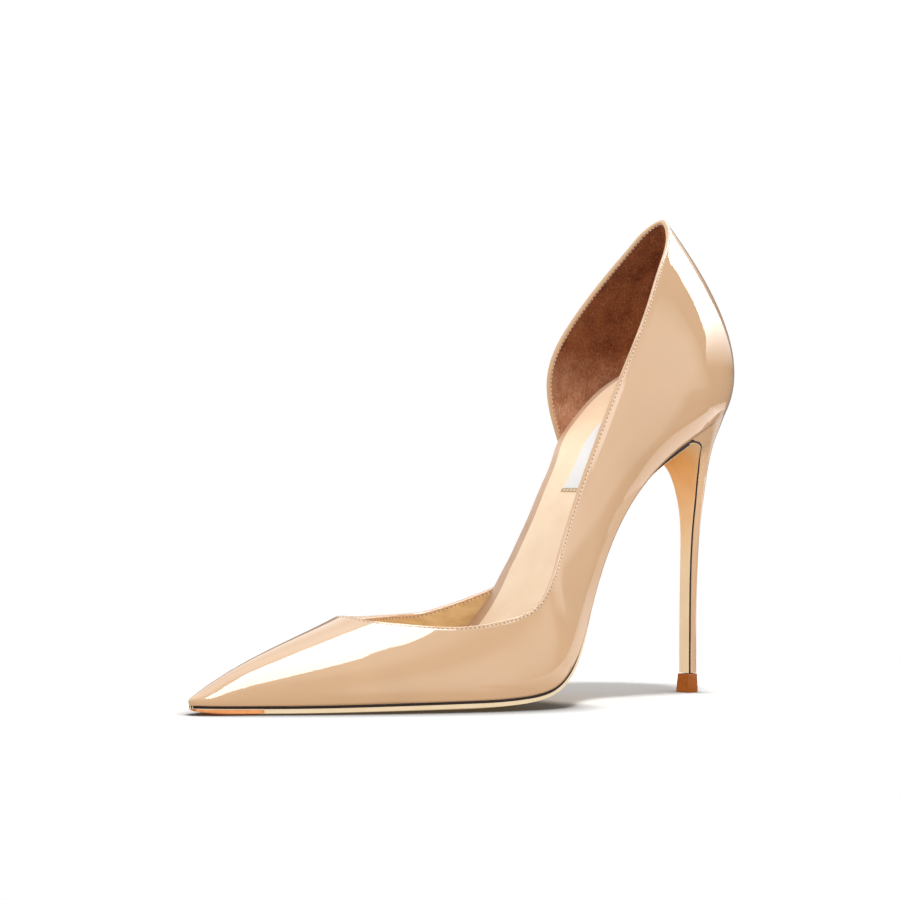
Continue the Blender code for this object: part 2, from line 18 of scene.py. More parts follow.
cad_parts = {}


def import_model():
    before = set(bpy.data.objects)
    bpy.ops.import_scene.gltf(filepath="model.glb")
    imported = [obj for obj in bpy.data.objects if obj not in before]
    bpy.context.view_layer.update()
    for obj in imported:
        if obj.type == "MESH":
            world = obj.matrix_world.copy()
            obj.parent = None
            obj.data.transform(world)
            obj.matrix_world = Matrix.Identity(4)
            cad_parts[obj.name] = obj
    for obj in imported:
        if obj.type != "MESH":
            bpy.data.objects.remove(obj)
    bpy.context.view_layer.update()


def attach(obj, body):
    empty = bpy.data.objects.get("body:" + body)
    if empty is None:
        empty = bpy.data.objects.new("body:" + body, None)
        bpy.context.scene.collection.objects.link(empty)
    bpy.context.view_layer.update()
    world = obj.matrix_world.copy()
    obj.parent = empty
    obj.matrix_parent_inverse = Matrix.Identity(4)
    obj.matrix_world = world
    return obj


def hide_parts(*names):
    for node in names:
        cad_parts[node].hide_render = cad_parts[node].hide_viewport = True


def table(kind, *rows):
    """Rows of numbers as named tuples of one kind."""
    return [kind(*row) for row in rows]


MM = 0.001
GAP = 0.3
OUTER = 1
INNER = -1

# Driving sizes of the last, as in the part's source
LAST_LENGTH = 220.0
HEEL_RISE = 99.0
BALL_WIDTH = 70.0
INSTEP = 60.0
TOE_SPRING = 0.5
TOE_SWING = -2.0
CROWN_RADIUS = 500.0
SPRING_END = 0.21
TREAD_END = 0.40
CROWN_FADE = (0.50, 0.75)
ORIGIN_BACK = 110.65
ORIGIN_SIDE = 1.05

# Thickness of the layers
SOLE_CENTRE = 2.3
SOLE_EDGE = 1.9
SOLE_WAIST = 1.2
SOLE_RAND = 0.8
FLAP_THICKNESS = 1.0
SOCK_THICKNESS = 1.2
TAP_LENGTH = 20.0

# The sole's underside and its drawn-in waist
SOLE_FLAT_SHARE = 0.5
BEVEL_POWER = 1.5
WAIST_BEVEL = 0.1
WAIST_RUN = (0.40, 0.56)
WAIST_INSET = 1.4
WAIST_END = (0.74, 0.84)

# Heel and top piece
TOP_PIECE_HEIGHT = 6.4
TOP_PIECE_FLARE = 0.4
TOP_PIECE_OVERHANG = 0.3
SEAT_FRONT = 188.0
SEAT_INSET = 0.1
FLAP_START = 186.0
ROUNDNESS = 2.6

Arch = namedtuple("Arch", "back height")
ARCH = table(
    Arch,
    (0.400, 0.000), (0.472, 0.006), (0.535, 0.036), (0.589, 0.140), (0.643, 0.314),
    (0.694, 0.496), (0.745, 0.656), (0.805, 0.787), (0.896, 0.902), (1.000, 1.000),
)

Width = namedtuple("Width", "along outer inner")
WIDTHS = table(
    Width,
    (0.012, 0.023, 0.077), (0.045, 0.081, 0.131), (0.130, 0.226, 0.246), (0.250, 0.391, 0.409),
    (0.345, 0.490, 0.489), (0.430, 0.521, 0.471), (0.500, 0.511, 0.386), (0.580, 0.418, 0.296),
    (0.670, 0.335, 0.290), (0.750, 0.315, 0.326), (0.850, 0.339, 0.354), (0.930, 0.307, 0.312),
    (0.980, 0.179, 0.181),
)

Rib = namedtuple("Rib", "along lean lift rise flare spread drop")
RIBS = table(
    Rib,
    (0.00, -0.025, 0.045, 0.042, 35.0, 0.30, 0.000),
    (0.04, 0.013, 0.125, 0.070, 28.0, 0.45, 0.000),
    (0.12, 0.033, 0.272, 0.125, 24.0, 0.50, 0.000),
    (0.22, 0.013, 0.432, 0.190, 20.0, 0.52, 0.000),
    (0.33, 0.083, 0.620, 0.260, 14.0, 0.56, 0.000),
    (0.45, 0.200, 0.883, 0.333, 10.0, 0.60, 0.033),
    (0.58, 0.383, 0.980, 0.367, 10.0, 0.70, 0.133),
    (0.72, 0.450, 1.130, 0.367, 14.0, 0.80, 0.233),
    (0.86, 0.633, 1.170, 0.383, 26.0, 0.86, 0.300),
    (1.00, 0.583, 1.190, 0.383, 43.0, 0.90, 0.367),
)
CREST_SWING_END = 0.45
HEEL_REACH = 24.0
HEEL_BLEND = (0.55, 0.80)

# Edges of the upper. The inner ones run on down to the sole
Edge = namedtuple("Edge", "share height")
THROAT_ALONG = 0.231
OUTER_TOPLINE = table(
    Edge,
    (0.252, 0.764), (0.276, 0.656), (0.316, 0.534), (0.364, 0.454), (0.412, 0.414),
    (0.462, 0.386), (0.536, 0.348), (0.600, 0.336), (0.660, 0.346), (0.732, 0.386),
    (0.800, 0.466), (0.864, 0.592), (0.908, 0.696), (0.955, 0.786), (1.000, 0.842),
)
INNER_TOPLINE = table(
    Edge,
    (0.250, 0.764), (0.276, 0.650), (0.328, 0.504), (0.378, 0.412), (0.426, 0.348),
    (0.476, 0.278), (0.520, 0.196), (0.558, 0.110), (0.584, 0.040), (0.597, 0.008),
)
CUP_TOPLINE = table(
    Edge,
    (0.777, 0.008), (0.790, 0.150), (0.804, 0.300), (0.812, 0.350), (0.834, 0.426),
    (0.858, 0.488), (0.884, 0.562), (0.914, 0.662), (0.946, 0.764), (0.972, 0.820),
    (1.000, 0.842),
)

Heel = namedtuple("Heel", "breast_back breast_height half_width rear_back rear_height")
HEEL = table(
    Heel,
    (199.3, 85.2, 16.5, 216.2, 95.5),
    (203.1, 82.6, 12.2, 215.7, 89.5),
    (206.5, 78.3, 8.2, 215.5, 82.5),
    (208.1, 73.0, 5.9, 215.2, 75.5),
    (209.0, 66.5, 4.3, 214.7, 67.5),
    (209.3, 61.0, 3.3, 214.2, 61.3),
    (209.2, 51.0, 2.5, 213.6, 51.0),
    (209.0, 32.0, 2.3, 213.0, 32.0),
    (209.3, 6.7, 2.3, 213.4, 6.7),
)
Breast = namedtuple("Breast", "back height half_width")
FLAP_TOP = Breast(193.2, 86.8, 20.6)

Layer = namedtuple("Layer", "along thickness")
INSOLE = table(
    Layer,
    (0.05, 1.6), (0.35, 2.0), (0.58, 3.0), (0.70, 4.2),
    (0.78, 6.4), (0.84, 8.2), (1.00, 8.4),
)
INSOLE_START = 0.06
SOCK_START = 0.10
INSOLE_INSET = 1.9
BARE_INSET = 0.3
BARE_START = (0.60, 0.65)
BARE_END = (0.75, 0.80)
SEAT_ROUNDING = 0.96

# How finely curves are sampled, and how far to either side of a place its slope is taken
SAMPLES = 6000
ALONG_REACH = 0.003
SHARE_REACH = 0.003
SLOPE_REACH = 0.5
TINY = 1e-12

SIDEWAYS = np.array([0.0, 1.0, 0.0])
UPWARD = np.array([0.0, 0.0, 1.0])
LEVEL = np.array([1.0, 1.0, 0.0])

# The upper's grid: columns along its edges, and rows that lie close together under the edge
EDGE_SPACING = 0.8
EDGE_SAMPLES = 1500
RIB_SAMPLES = 41
THROAT_RUN = 6.0
THROAT_COLUMNS = 20
TOE_COLUMNS = 45
TOE_CROWDING = 1.3
EDGE_ROWS = np.array([0.0, 0.3, 0.6, 0.9, 1.2, 1.5, 1.8, 2.1, 2.5, 3.0, 3.7, 4.6])
BODY_ROWS = 34
SHORT_RIB = 10.0
EDGE_TRIM = 1.1
TRIM_SHARE = 0.12
TRIM_FADE = {OUTER: (0.82, 0.95), INNER: (-0.02, -0.01)}

# Along the arch the upper turns in towards the sole: how steeply, from which heights above the sole's edge
FEATHER_SHARE = (0.445, 0.461, 0.475, 0.49, 0.54, 0.575, 0.63, 0.656, 0.68, 0.71, 0.74)
FEATHER_SLOPE = (0.0, 0.05, 0.105, 0.135, 0.135, 0.12, 0.10, 0.085, 0.06, 0.03, 0.0)
FEATHER_BEND = (4.6, 7.0)
FEATHER_SAMPLES = 50

# The patent leather is folded over at the edge, and the lining starts inside the fold
PATENT_THICKNESS = 1.0
FOLD_THICKNESS = 1.56
FOLD_END = (0.35, 0.55)
LINING = (-1.05, -1.5)
EDGE_ROLL = 0.4
ROLL_STEPS = 8
ROLL_POWER = 0.6
SUEDE_SHARE = 0.70

# Shares of the outer edge between which the stitching has a raised shoulder under it
SHOULDER_START = (0.62, 0.72)
SHOULDER_END = (0.88, 0.94)

# Stitching along the edge, on the outside and through the lining, with dark dots between the stitches as
# painted shade in the needle holes
STITCH_INSET = 0.50
STITCH_PITCH = 1.5
STITCH_SIZE = (0.50, 0.20, 0.15)
HOLE_SHADE_SIZE = (0.24, 0.20, 0.10)
STITCH_PROUD = 0.03
STITCH_ENDS = 7.0
SAME_PLACE = 0.01

# Camera: the point it looks at, how far it turns from the outer side towards the toe, and its tilt and roll
VIEW_TARGET = (5.51, -5.32, 82.81)
VIEW_TURN = 40.0
VIEW_TILT = 0.3
VIEW_ROLL = 0.798
VIEW_DISTANCE = 1200.0
FOCAL_SHARE = 3660.0 / 900.0
SENSOR = 36.0


class Spline:
    """A cubic through (knot, value) pairs, with natural ends, given end slopes, or closed on itself."""

    def __init__(self, knots, values, start=None, end=None, closed=False):
        self.knots = np.asarray(knots, float)
        self.values = np.asarray(values, float)
        count = len(self.knots)
        step = np.diff(self.knots)
        slope = np.diff(self.values) / step
        matrix = np.eye(count)
        target = np.zeros(count)
        for i in range(1, count - 1):
            matrix[i, i - 1:i + 2] = step[i - 1], 2 * (step[i - 1] + step[i]), step[i]
            target[i] = 6 * (slope[i] - slope[i - 1])
        if start is not None:
            matrix[0, :2] = 2 * step[0], step[0]
            target[0] = 6 * (slope[0] - start)
        if end is not None:
            matrix[-1, -2:] = step[-1], 2 * step[-1]
            target[-1] = 6 * (end - slope[-1])
        if closed:
            matrix[0, [0, 1, count - 2]] = 2 * (step[0] + step[-1]), step[0], step[-1]
            target[0] = 6 * (slope[0] - slope[-1])
            matrix[-1, 0] = -1.0
        self.bend = np.linalg.solve(matrix, target)

    def __call__(self, place):
        place = np.asarray(place, float)
        i = np.clip(np.searchsorted(self.knots, place) - 1, 0, len(self.knots) - 2)
        step = self.knots[i + 1] - self.knots[i]
        before = (self.knots[i + 1] - place) / step
        after = (place - self.knots[i]) / step
        bow = (before ** 3 - before) * self.bend[i] + (after ** 3 - after) * self.bend[i + 1]
        return before * self.values[i] + after * self.values[i + 1] + bow * step ** 2 / 6


def splines(knots, rows, **ends):
    """A spline through each column of a table."""
    return [Spline(knots, column, **ends) for column in zip(*rows)]


def run_length(points):
    """Distance from the first point to each point of a line."""
    steps = np.linalg.norm(np.diff(np.asarray(points, float), axis=0), axis=1)
    return np.concatenate([[0.0], np.cumsum(steps)])


def ease(value, low, high):
    """0 below low, 1 above high, with a smooth change between them."""
    t = np.clip((np.asarray(value, float) - low) / (high - low), 0.0, 1.0)
    return t ** 3 * (t * (6 * t - 15) + 10)


def window(value, start, end):
    """1 between a start and an end, each given as the range of its smooth change, and 0 outside them."""
    return ease(value, *start) * (1 - ease(value, *end))


def unit(vectors):
    return vectors / np.maximum(np.linalg.norm(vectors, axis=-1, keepdims=True), TINY)


def change(place, reach, knots, values):
    """How far a value between knots changes over a short reach to either side of a place."""
    return np.interp(place + reach, knots, values) - np.interp(place - reach, knots, values)


def bottom_line():
    """Back and height of the last's bottom, on its middle line, from the toe tip to the heel."""
    tread = SOLE_CENTRE + GAP
    front = np.linspace(0.0, TREAD_END * LAST_LENGTH, SAMPLES)
    spring = TOE_SPRING * np.clip(1 - front / (SPRING_END * LAST_LENGTH), 0, 1) ** 2
    rows = [(row.back * LAST_LENGTH, tread + row.height * HEEL_RISE) for row in ARCH]
    knots = run_length(rows)
    place = np.linspace(0.0, knots[-1], SAMPLES)[1:]
    back = Spline(knots, [row[0] for row in rows], start=1.0)(place)
    height = Spline(knots, [row[1] for row in rows], start=0.0)(place)
    return np.concatenate([front, back]), np.concatenate([tread + spring, height])


BOTTOM_BACK, BOTTOM_HEIGHT = bottom_line()
BOTTOM_RUN = run_length(np.stack([BOTTOM_BACK, BOTTOM_HEIGHT], axis=1))
BOTTOM_ALONG = BOTTOM_RUN / BOTTOM_RUN[-1]


def along_at(back):
    return np.interp(back, BOTTOM_BACK, BOTTOM_ALONG)


def bottom_axes(along):
    """Unit vectors along the bottom line towards the heel, and square to it into the shoe."""
    along = np.asarray(along, float)
    back = change(along, ALONG_REACH, BOTTOM_ALONG, BOTTOM_BACK)
    height = change(along, ALONG_REACH, BOTTOM_ALONG, BOTTOM_HEIGHT)
    length = np.hypot(back, height)
    flat = np.zeros_like(length)
    heelward = np.stack([-back / length, flat, height / length], axis=-1)
    inward = np.stack([height / length, flat, back / length], axis=-1)
    return heelward, inward


def bed(along, side, above=0.0):
    """A point over the last's bottom, which is crowned across the ball and level across the seat."""
    along, side, above = np.broadcast_arrays(*(np.asarray(value, float) for value in (along, side, above)))
    crown = (1 - ease(along, *CROWN_FADE)) * side ** 2 / (2 * CROWN_RADIUS)
    back = np.interp(along, BOTTOM_ALONG, BOTTOM_BACK)
    height = np.interp(along, BOTTOM_ALONG, BOTTOM_HEIGHT)
    inward = bottom_axes(along)[1]
    return np.stack([-back, side, height], axis=-1) + inward * (crown + above)[..., None]


def bottom_rim():
    """The bottom's edge on each side: share of the way round, place along the bottom, and side."""
    length = BOTTOM_RUN[-1]
    loop = [(0.0, TOE_SWING)]
    loop += [(row.along * length, row.outer * BALL_WIDTH) for row in WIDTHS]
    loop += [(length, 0.0)]
    loop += [(row.along * length, -row.inner * BALL_WIDTH) for row in reversed(WIDTHS)]
    loop += [loop[0]]
    knots = run_length(loop)
    heel = knots[len(WIDTHS) + 1]
    along, side = splines(knots, loop, closed=True)
    rim = {}
    for which, start in ((OUTER, 0.0), (INNER, knots[-1])):
        place = np.linspace(start, heel, SAMPLES)
        run = run_length(np.stack([along(place), side(place)], axis=1))
        rim[which] = (run / run[-1], np.clip(along(place) / length, 0, 1), side(place))
    return rim


RIM = bottom_rim()


def half_width(which, along):
    """Side of the bottom's edge at a place along it."""
    return np.interp(along, RIM[which][1], RIM[which][2])


def rim_share(which, along):
    return np.interp(along, RIM[which][1], RIM[which][0])


def rim_point(which, share):
    """Place along, side, point and outward direction at a share of the way round the bottom's edge."""
    shares, alongs, sides = RIM[which]
    along = np.interp(share, shares, alongs)
    side = np.interp(share, shares, sides)
    run = change(share, SHARE_REACH, shares, alongs) * BOTTOM_RUN[-1]
    swing = change(share, SHARE_REACH, shares, sides)
    length = np.hypot(run, swing)
    heelward, _ = bottom_axes(along)
    out = which * ((run / length)[..., None] * SIDEWAYS - (swing / length)[..., None] * heelward)
    return along, side, bed(along, side), out


RIB_COLUMNS = splines([row.along for row in RIBS], [row[1:] for row in RIBS])


def rib_points(which, share):
    """Four Bezier points of the rib that starts at a share of the bottom's edge."""
    along, side, foot, out = rim_point(which, np.asarray(share, float))
    inward = bottom_axes(along)[1]
    lean, lift, rise, flare, spread, drop = (column(along) for column in RIB_COLUMNS)
    angle = np.radians(flare)[..., None]
    first = foot + (rise * INSTEP)[..., None] * (np.cos(angle) * inward + np.sin(angle) * out)
    crest_side = TOE_SWING * np.clip(1 - along / CREST_SWING_END, 0, 1) ** 2
    crest = bed(along, 0.0) + INSTEP * np.stack([lean, 0 * lean, lift], axis=-1)
    crest[..., 1] = crest_side
    level = unit(out * LEVEL)
    heelness = ease(along, *HEEL_BLEND)[..., None]
    across = (side - crest_side)[..., None] * SIDEWAYS
    reach = (1 - heelness) * across + heelness * HEEL_REACH * level
    last = crest + spread[..., None] * reach - (drop * INSTEP)[..., None] * UPWARD
    return foot, first, last, crest


def skin(which, share, height):
    """A point on the upper's outer face, at a share of the bottom's edge and of the rib's height."""
    foot, first, last, crest = rib_points(which, share)
    up = np.asarray(height, float)[..., None]
    down = 1 - up
    return down ** 3 * foot + 3 * down ** 2 * up * first + 3 * down * up ** 2 * last + up ** 3 * crest


def edge_columns(which, rows, throat=False, level_end=False):
    """Shares and heights at places along an edge of the upper that lie evenly apart on its skin.

    An edge that starts at the throat crosses the middle line square; one that ends at the heel is level
    there.
    """
    if throat:
        rows = [Edge(rim_share(which, THROAT_ALONG), 1.0), *rows]
    knots = run_length(rows)
    share = Spline(knots, [row.share for row in rows], start=0.0 if throat else None)
    height = Spline(knots, [row.height for row in rows], end=0.0 if level_end else None)
    place = np.linspace(0.0, knots[-1], EDGE_SAMPLES)
    run = run_length(skin(which, share(place), height(place)))
    count = int(round(run[-1] / EDGE_SPACING))
    place = np.interp(np.linspace(0.0, run[-1], count + 1), run, place)
    return np.array([share(place), height(place)])


def toe_columns(which):
    """Shares and heights of the columns from the throat to the toe tip, which reach up to the crest."""
    toe = THROAT_ALONG - THROAT_RUN / BOTTOM_RUN[-1]
    near = np.linspace(THROAT_ALONG, toe, THROAT_COLUMNS + 1)[1:]
    far = toe * np.linspace(1.0, 0.0, TOE_COLUMNS + 1)[1:-1] ** TOE_CROWDING
    share = rim_share(which, np.concatenate([near, far]))
    return np.array([share, np.ones(len(share))])


Columns = namedtuple("Columns", "which share top on_edge")


def upper_columns():
    """Columns of the upper, from the inner vamp round the toe and the heel to the inner cup.

    Also the number of the column at the toe tip: the columns before and after it mirror each other as far as
    the throat, and meet on the crest.
    """
    parts = [
        (INNER, True, edge_columns(INNER, INNER_TOPLINE, throat=True)[:, ::-1]),
        (INNER, False, toe_columns(INNER)),
        (OUTER, False, np.array([[0.0], [1.0]])),
        (OUTER, False, toe_columns(OUTER)[:, ::-1]),
        (OUTER, True, edge_columns(OUTER, OUTER_TOPLINE, throat=True, level_end=True)),
        (INNER, True, edge_columns(INNER, CUP_TOPLINE, level_end=True)[:, -2::-1]),
    ]
    sides, flags, lines = zip(*parts)
    counts = [line.shape[1] for line in lines]
    share, top = np.concatenate(lines, axis=1)
    return Columns(np.repeat(sides, counts), share, top, np.repeat(flags, counts)), sum(counts[:2])


def column_points(columns):
    """Points of each column from the top down, and how far each lies above the sole's edge.

    They are close together under the top edge, and evenly apart below.
    """
    share = columns.share[:, None]
    points = np.empty((len(share), len(EDGE_ROWS) + BODY_ROWS, 3))
    above = np.empty(points.shape[:2])
    for side in (OUTER, INNER):
        mine = columns.which == side
        heights = columns.top[mine, None] * np.linspace(0.0, 1.0, RIB_SAMPLES)
        ribs = skin(side, np.broadcast_to(share[mine], heights.shape), heights)
        steps = np.linalg.norm(np.diff(ribs, axis=1), axis=2)
        run = np.concatenate([np.zeros((len(steps), 1)), np.cumsum(steps, axis=1)], axis=1)
        trim = columns.on_edge[mine, None] * (1 - ease(share[mine], *TRIM_FADE[side]))
        total = run[:, -1:] - np.minimum(EDGE_TRIM, TRIM_SHARE * run[:, -1:]) * trim
        near = np.minimum(1.0, total / SHORT_RIB) * EDGE_ROWS
        far = near[:, -1:] + (total - near[:, -1:]) * np.linspace(0.0, 1.0, BODY_ROWS + 1)[1:]
        wanted = total - np.concatenate([near, far], axis=1)
        rows = np.array([np.interp(*line) for line in zip(wanted, run, heights)])
        points[mine] = skin(side, np.broadcast_to(share[mine], rows.shape), rows)
        above[mine] = wanted
    return points, above


def feather_turn(columns, above):
    """How far the upper is turned in near the sole's edge."""
    heights = np.linspace(0.0, FEATHER_BEND[1], FEATHER_SAMPLES)
    slope = 1 - ease(heights, *FEATHER_BEND)
    depth = np.cumsum(slope[::-1])[::-1] * (heights[1] - heights[0])
    steepness = np.interp(columns.share, FEATHER_SHARE, FEATHER_SLOPE) * (columns.which == OUTER)
    return steepness[:, None] * np.interp(above, heights, depth)


def grid_faces(columns, rows):
    faces = []
    for column in range(columns - 1):
        for row in range(rows - 1):
            low = column * rows + row
            faces.append((low, low + 1, low + rows + 1, low + rows))
    return faces


def joined(faces, owner):
    """Faces with each point replaced by its owner, and the points that are left, renumbered."""
    kept, number = np.unique(owner, return_inverse=True)
    number = number.ravel().tolist()
    clean = [tuple(dict.fromkeys(number[i] for i in face)) for face in faces]
    return [face for face in clean if len(face) > 2], kept


def point_normals(points, faces):
    normals = np.zeros_like(points)
    for size in (3, 4):
        some = np.array([face for face in faces if len(face) == size], int).reshape(-1, size)
        if not len(some):
            continue
        corner = points[some]
        if size == 4:
            square = np.cross(corner[:, 2] - corner[:, 0], corner[:, 3] - corner[:, 1])
        else:
            square = np.cross(corner[:, 1] - corner[:, 0], corner[:, 2] - corner[:, 0])
        for i in range(size):
            np.add.at(normals, some[:, i], square)
    return unit(normals)


def border(faces):
    """Directed edges that only one face has."""
    edges = {}
    for face in faces:
        for a, b in zip(face, face[1:] + face[:1]):
            if (b, a) in edges:
                del edges[(b, a)]
            else:
                edges[(a, b)] = True
    return list(edges)


def border_outward(points, normals, edges):
    """Directions in the surface that point away from it, at the points of its border."""
    away = np.zeros_like(points)
    for a, b in edges:
        step = points[b] - points[a]
        away[a] += np.cross(step, normals[a])
        away[b] += np.cross(step, normals[b])
    return unit(away)


def shell(points, faces, normals, outside, inside, rolled=False):
    """A closed sheet between two offsets from a surface, whose rolled edges are round."""
    count = len(points)
    outside, inside, rolled = (np.broadcast_to(value, count) for value in (outside, inside, rolled))
    edges = border(faces)
    away = border_outward(points, normals, edges)
    made = [points + normals * outside[:, None], points + normals * inside[:, None]]
    all_faces = list(faces) + [tuple(count + i for i in reversed(face)) for face in faces]
    turns = np.linspace(0.0, math.pi, ROLL_STEPS + 1)[1:-1]
    ring = {}
    extra = []
    for i in sorted({i for edge in edges for i in edge if rolled[i]}):
        ring[i] = [i] + [2 * count + len(extra) + k for k in range(len(turns))] + [count + i]
        for turn in turns:
            level = outside[i] + (inside[i] - outside[i]) * (1 - math.cos(turn)) / 2
            proud = EDGE_ROLL * math.sin(turn) ** ROLL_POWER
            extra.append(points[i] + normals[i] * level + away[i] * proud)
    for a, b in edges:
        if rolled[a] and rolled[b]:
            for k in range(len(turns) + 1):
                all_faces.append((ring[b][k], ring[a][k], ring[a][k + 1], ring[b][k + 1]))
        else:
            all_faces.append((b, a, count + a, count + b))
    if extra:
        made.append(np.array(extra))
    return np.concatenate(made), all_faces


def metres(points):
    return (np.asarray(points) + np.array([ORIGIN_BACK, -ORIGIN_SIDE, 0.0])) * MM


def face_outward(mesh):
    """Turn the faces of closed forms so that they all look out."""
    form = bmesh.new()
    form.from_mesh(mesh)
    bmesh.ops.recalc_face_normals(form, faces=form.faces)
    form.to_mesh(mesh)
    form.free()


def new_object(name, data):
    thing = bpy.data.objects.new(name, data)
    bpy.context.scene.collection.objects.link(thing)
    return thing


def new_piece(name, points, faces, materials, face_materials=None, sharp=None):
    mesh = bpy.data.meshes.new(name)
    mesh.from_pydata(metres(points).tolist(), [], [tuple(int(i) for i in face) for face in faces])
    mesh.validate()
    face_outward(mesh)
    mesh.shade_smooth()
    if sharp is not None:
        mesh.set_sharp_from_angle(angle=math.radians(sharp))
    for material in materials:
        mesh.materials.append(material)
    if face_materials is not None:
        mesh.polygons.foreach_set("material_index", face_materials)
    mesh.update()
    piece = new_object(name, mesh)
    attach(piece, "root")
    return piece


# The upper

# Places where the patent leather swells or dips near its edge
Bead = namedtuple("Bead", "height inset width")
EDGE_SWELL = Bead(0.05, 0.0, 0.25)
STITCH_GROOVE = Bead(-0.14, STITCH_INSET, 0.28)
STITCH_SHOULDER = Bead(0.16, 2.6, 1.0)
LINE_PARTS = 4


def bead_height(distance, bead):
    return bead.height * np.exp(-((distance - bead.inset) / bead.width) ** 2)


def edge_distance(points, line):
    """Distance of each point from a line of points."""
    shares = np.arange(LINE_PARTS) / LINE_PARTS
    fine = np.concatenate([line[:-1] + (line[1:] - line[:-1]) * share for share in shares])
    tree = KDTree(len(fine))
    for i, point in enumerate(fine):
        tree.insert(point, i)
    tree.balance()
    return np.array([tree.find(point)[2] for point in points])


class Upper:
    """The upper's skin as one sheet, with the points of its edge and the distance of each point from it."""

    def __init__(self):
        self.columns, tip = upper_columns()
        grid, above = column_points(self.columns)
        rows = grid.shape[1]
        owner = np.arange(grid.shape[0] * rows)
        on_edge = self.columns.on_edge
        last = tip
        while not on_edge[last]:
            last += 1
            owner[last * rows] = (2 * tip - last) * rows
        self.faces, kept = joined(grid_faces(*grid.shape[:2]), owner)
        turn = feather_turn(self.columns, above).ravel()[kept]
        self.points = grid.reshape(-1, 3)[kept]
        self.points = self.points - point_normals(self.points, self.faces) * turn[:, None]
        self.normals = point_normals(self.points, self.faces)
        flags = np.zeros(grid.shape[:2], bool)
        flags[on_edge, 0] = True
        self.on_edge = flags.ravel()[kept]
        self.distance = edge_distance(self.points, grid[on_edge, 0])
        self.column_of = kept // rows
        self.bead = bead_height(self.distance, EDGE_SWELL) + bead_height(self.distance, STITCH_GROOVE)
        self.bead += bead_height(self.distance, STITCH_SHOULDER) * self.quarter()[self.column_of]
        self.away = border_outward(self.points, self.normals, border(self.faces))
        place = np.full(len(owner), -1)
        place[kept] = np.arange(len(kept))
        self.line = place[owner[np.flatnonzero(on_edge) * rows]]

    def quarter(self):
        """How far each column lies on the outer quarter, whose edge has a raised shoulder."""
        outer = self.columns.which == OUTER
        return outer * window(self.columns.share, SHOULDER_START, SHOULDER_END)


def make_patent(upper, material):
    fold = 1 - ease(upper.distance, *FOLD_END)
    inside = -(PATENT_THICKNESS + (FOLD_THICKNESS - PATENT_THICKNESS) * fold)
    points, faces = shell(upper.points, upper.faces, upper.normals, upper.bead, inside, upper.on_edge)
    piece = new_piece("patent_upper", points, faces, [material])
    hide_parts("upper")


def make_lining(upper, name, suede, material):
    wanted = (upper.columns.share >= SUEDE_SHARE) == suede
    faces = [face for face in upper.faces if wanted[upper.column_of[list(face)]].all()]
    used = np.unique([i for face in faces for i in face])
    number = np.full(len(upper.points), -1)
    number[used] = np.arange(len(used))
    faces = [tuple(number[i] for i in face) for face in faces]
    points, faces = shell(upper.points[used], faces, upper.normals[used], *LINING)
    return new_piece(name, points, faces, [material])


BALL_SEGMENTS = 8
BALL_RINGS = 5


def ball():
    """Points and faces of a unit ball."""
    turns = 2 * math.pi * np.arange(BALL_SEGMENTS) / BALL_SEGMENTS
    points = [(0.0, 0.0, 1.0)]
    for fall in math.pi * np.arange(1, BALL_RINGS) / BALL_RINGS:
        width = math.sin(fall)
        points += [(width * math.cos(turn), width * math.sin(turn), math.cos(fall)) for turn in turns]
    points.append((0.0, 0.0, -1.0))
    faces = []
    for segment in range(BALL_SEGMENTS):
        after = (segment + 1) % BALL_SEGMENTS
        faces.append((0, 1 + segment, 1 + after))
        low = 1
        for high in range(1 + BALL_SEGMENTS, len(points) - 1, BALL_SEGMENTS):
            faces.append((low + segment, high + segment, high + after, low + after))
            low = high
        faces.append((low + segment, len(points) - 1, low + after))
    return np.array(points), faces


def scatter(centres, alongs, normals, size):
    """Balls of one size, turned to lie along a line on a surface."""
    corners, corner_faces = ball()
    local = corners * np.array(size)
    ups = unit(normals)
    aheads = unit(alongs - ups * np.sum(alongs * ups, axis=1)[:, None])
    sides = np.cross(ups, aheads)
    points = []
    faces = []
    for centre, ahead, side, up in zip(centres, aheads, sides, ups):
        base = len(points) * len(corners)
        points.append(centre + local[:, :1] * ahead + local[:, 1:2] * side + local[:, 2:] * up)
        faces += [tuple(base + i for i in face) for face in corner_faces]
    return np.concatenate(points), faces


def surface_tree(points, faces):
    corners = [tuple(int(i) for i in face) for face in faces]
    return BVHTree.FromPolygons([tuple(point) for point in points], corners)


def seam_places(line, phase):
    """Numbers along a line, one stitch apart, that leave both ends free."""
    run = run_length(line)
    count = int((run[-1] - 2 * STITCH_ENDS) / STITCH_PITCH)
    wanted = STITCH_ENDS + (np.arange(count) + phase) * STITCH_PITCH
    return np.interp(wanted, run, np.arange(len(line)))


def at(values, place):
    """Values between the rows of a table."""
    low = np.clip(np.floor(place).astype(int), 0, len(values) - 2)
    share = (place - low)[:, None]
    return values[low] * (1 - share) + values[low + 1] * share


def on_surface(tree, points):
    found = [tree.find_nearest(Vector(point)) for point in points]
    return np.array([tuple(hit[0]) for hit in found]), np.array([tuple(hit[1]) for hit in found])


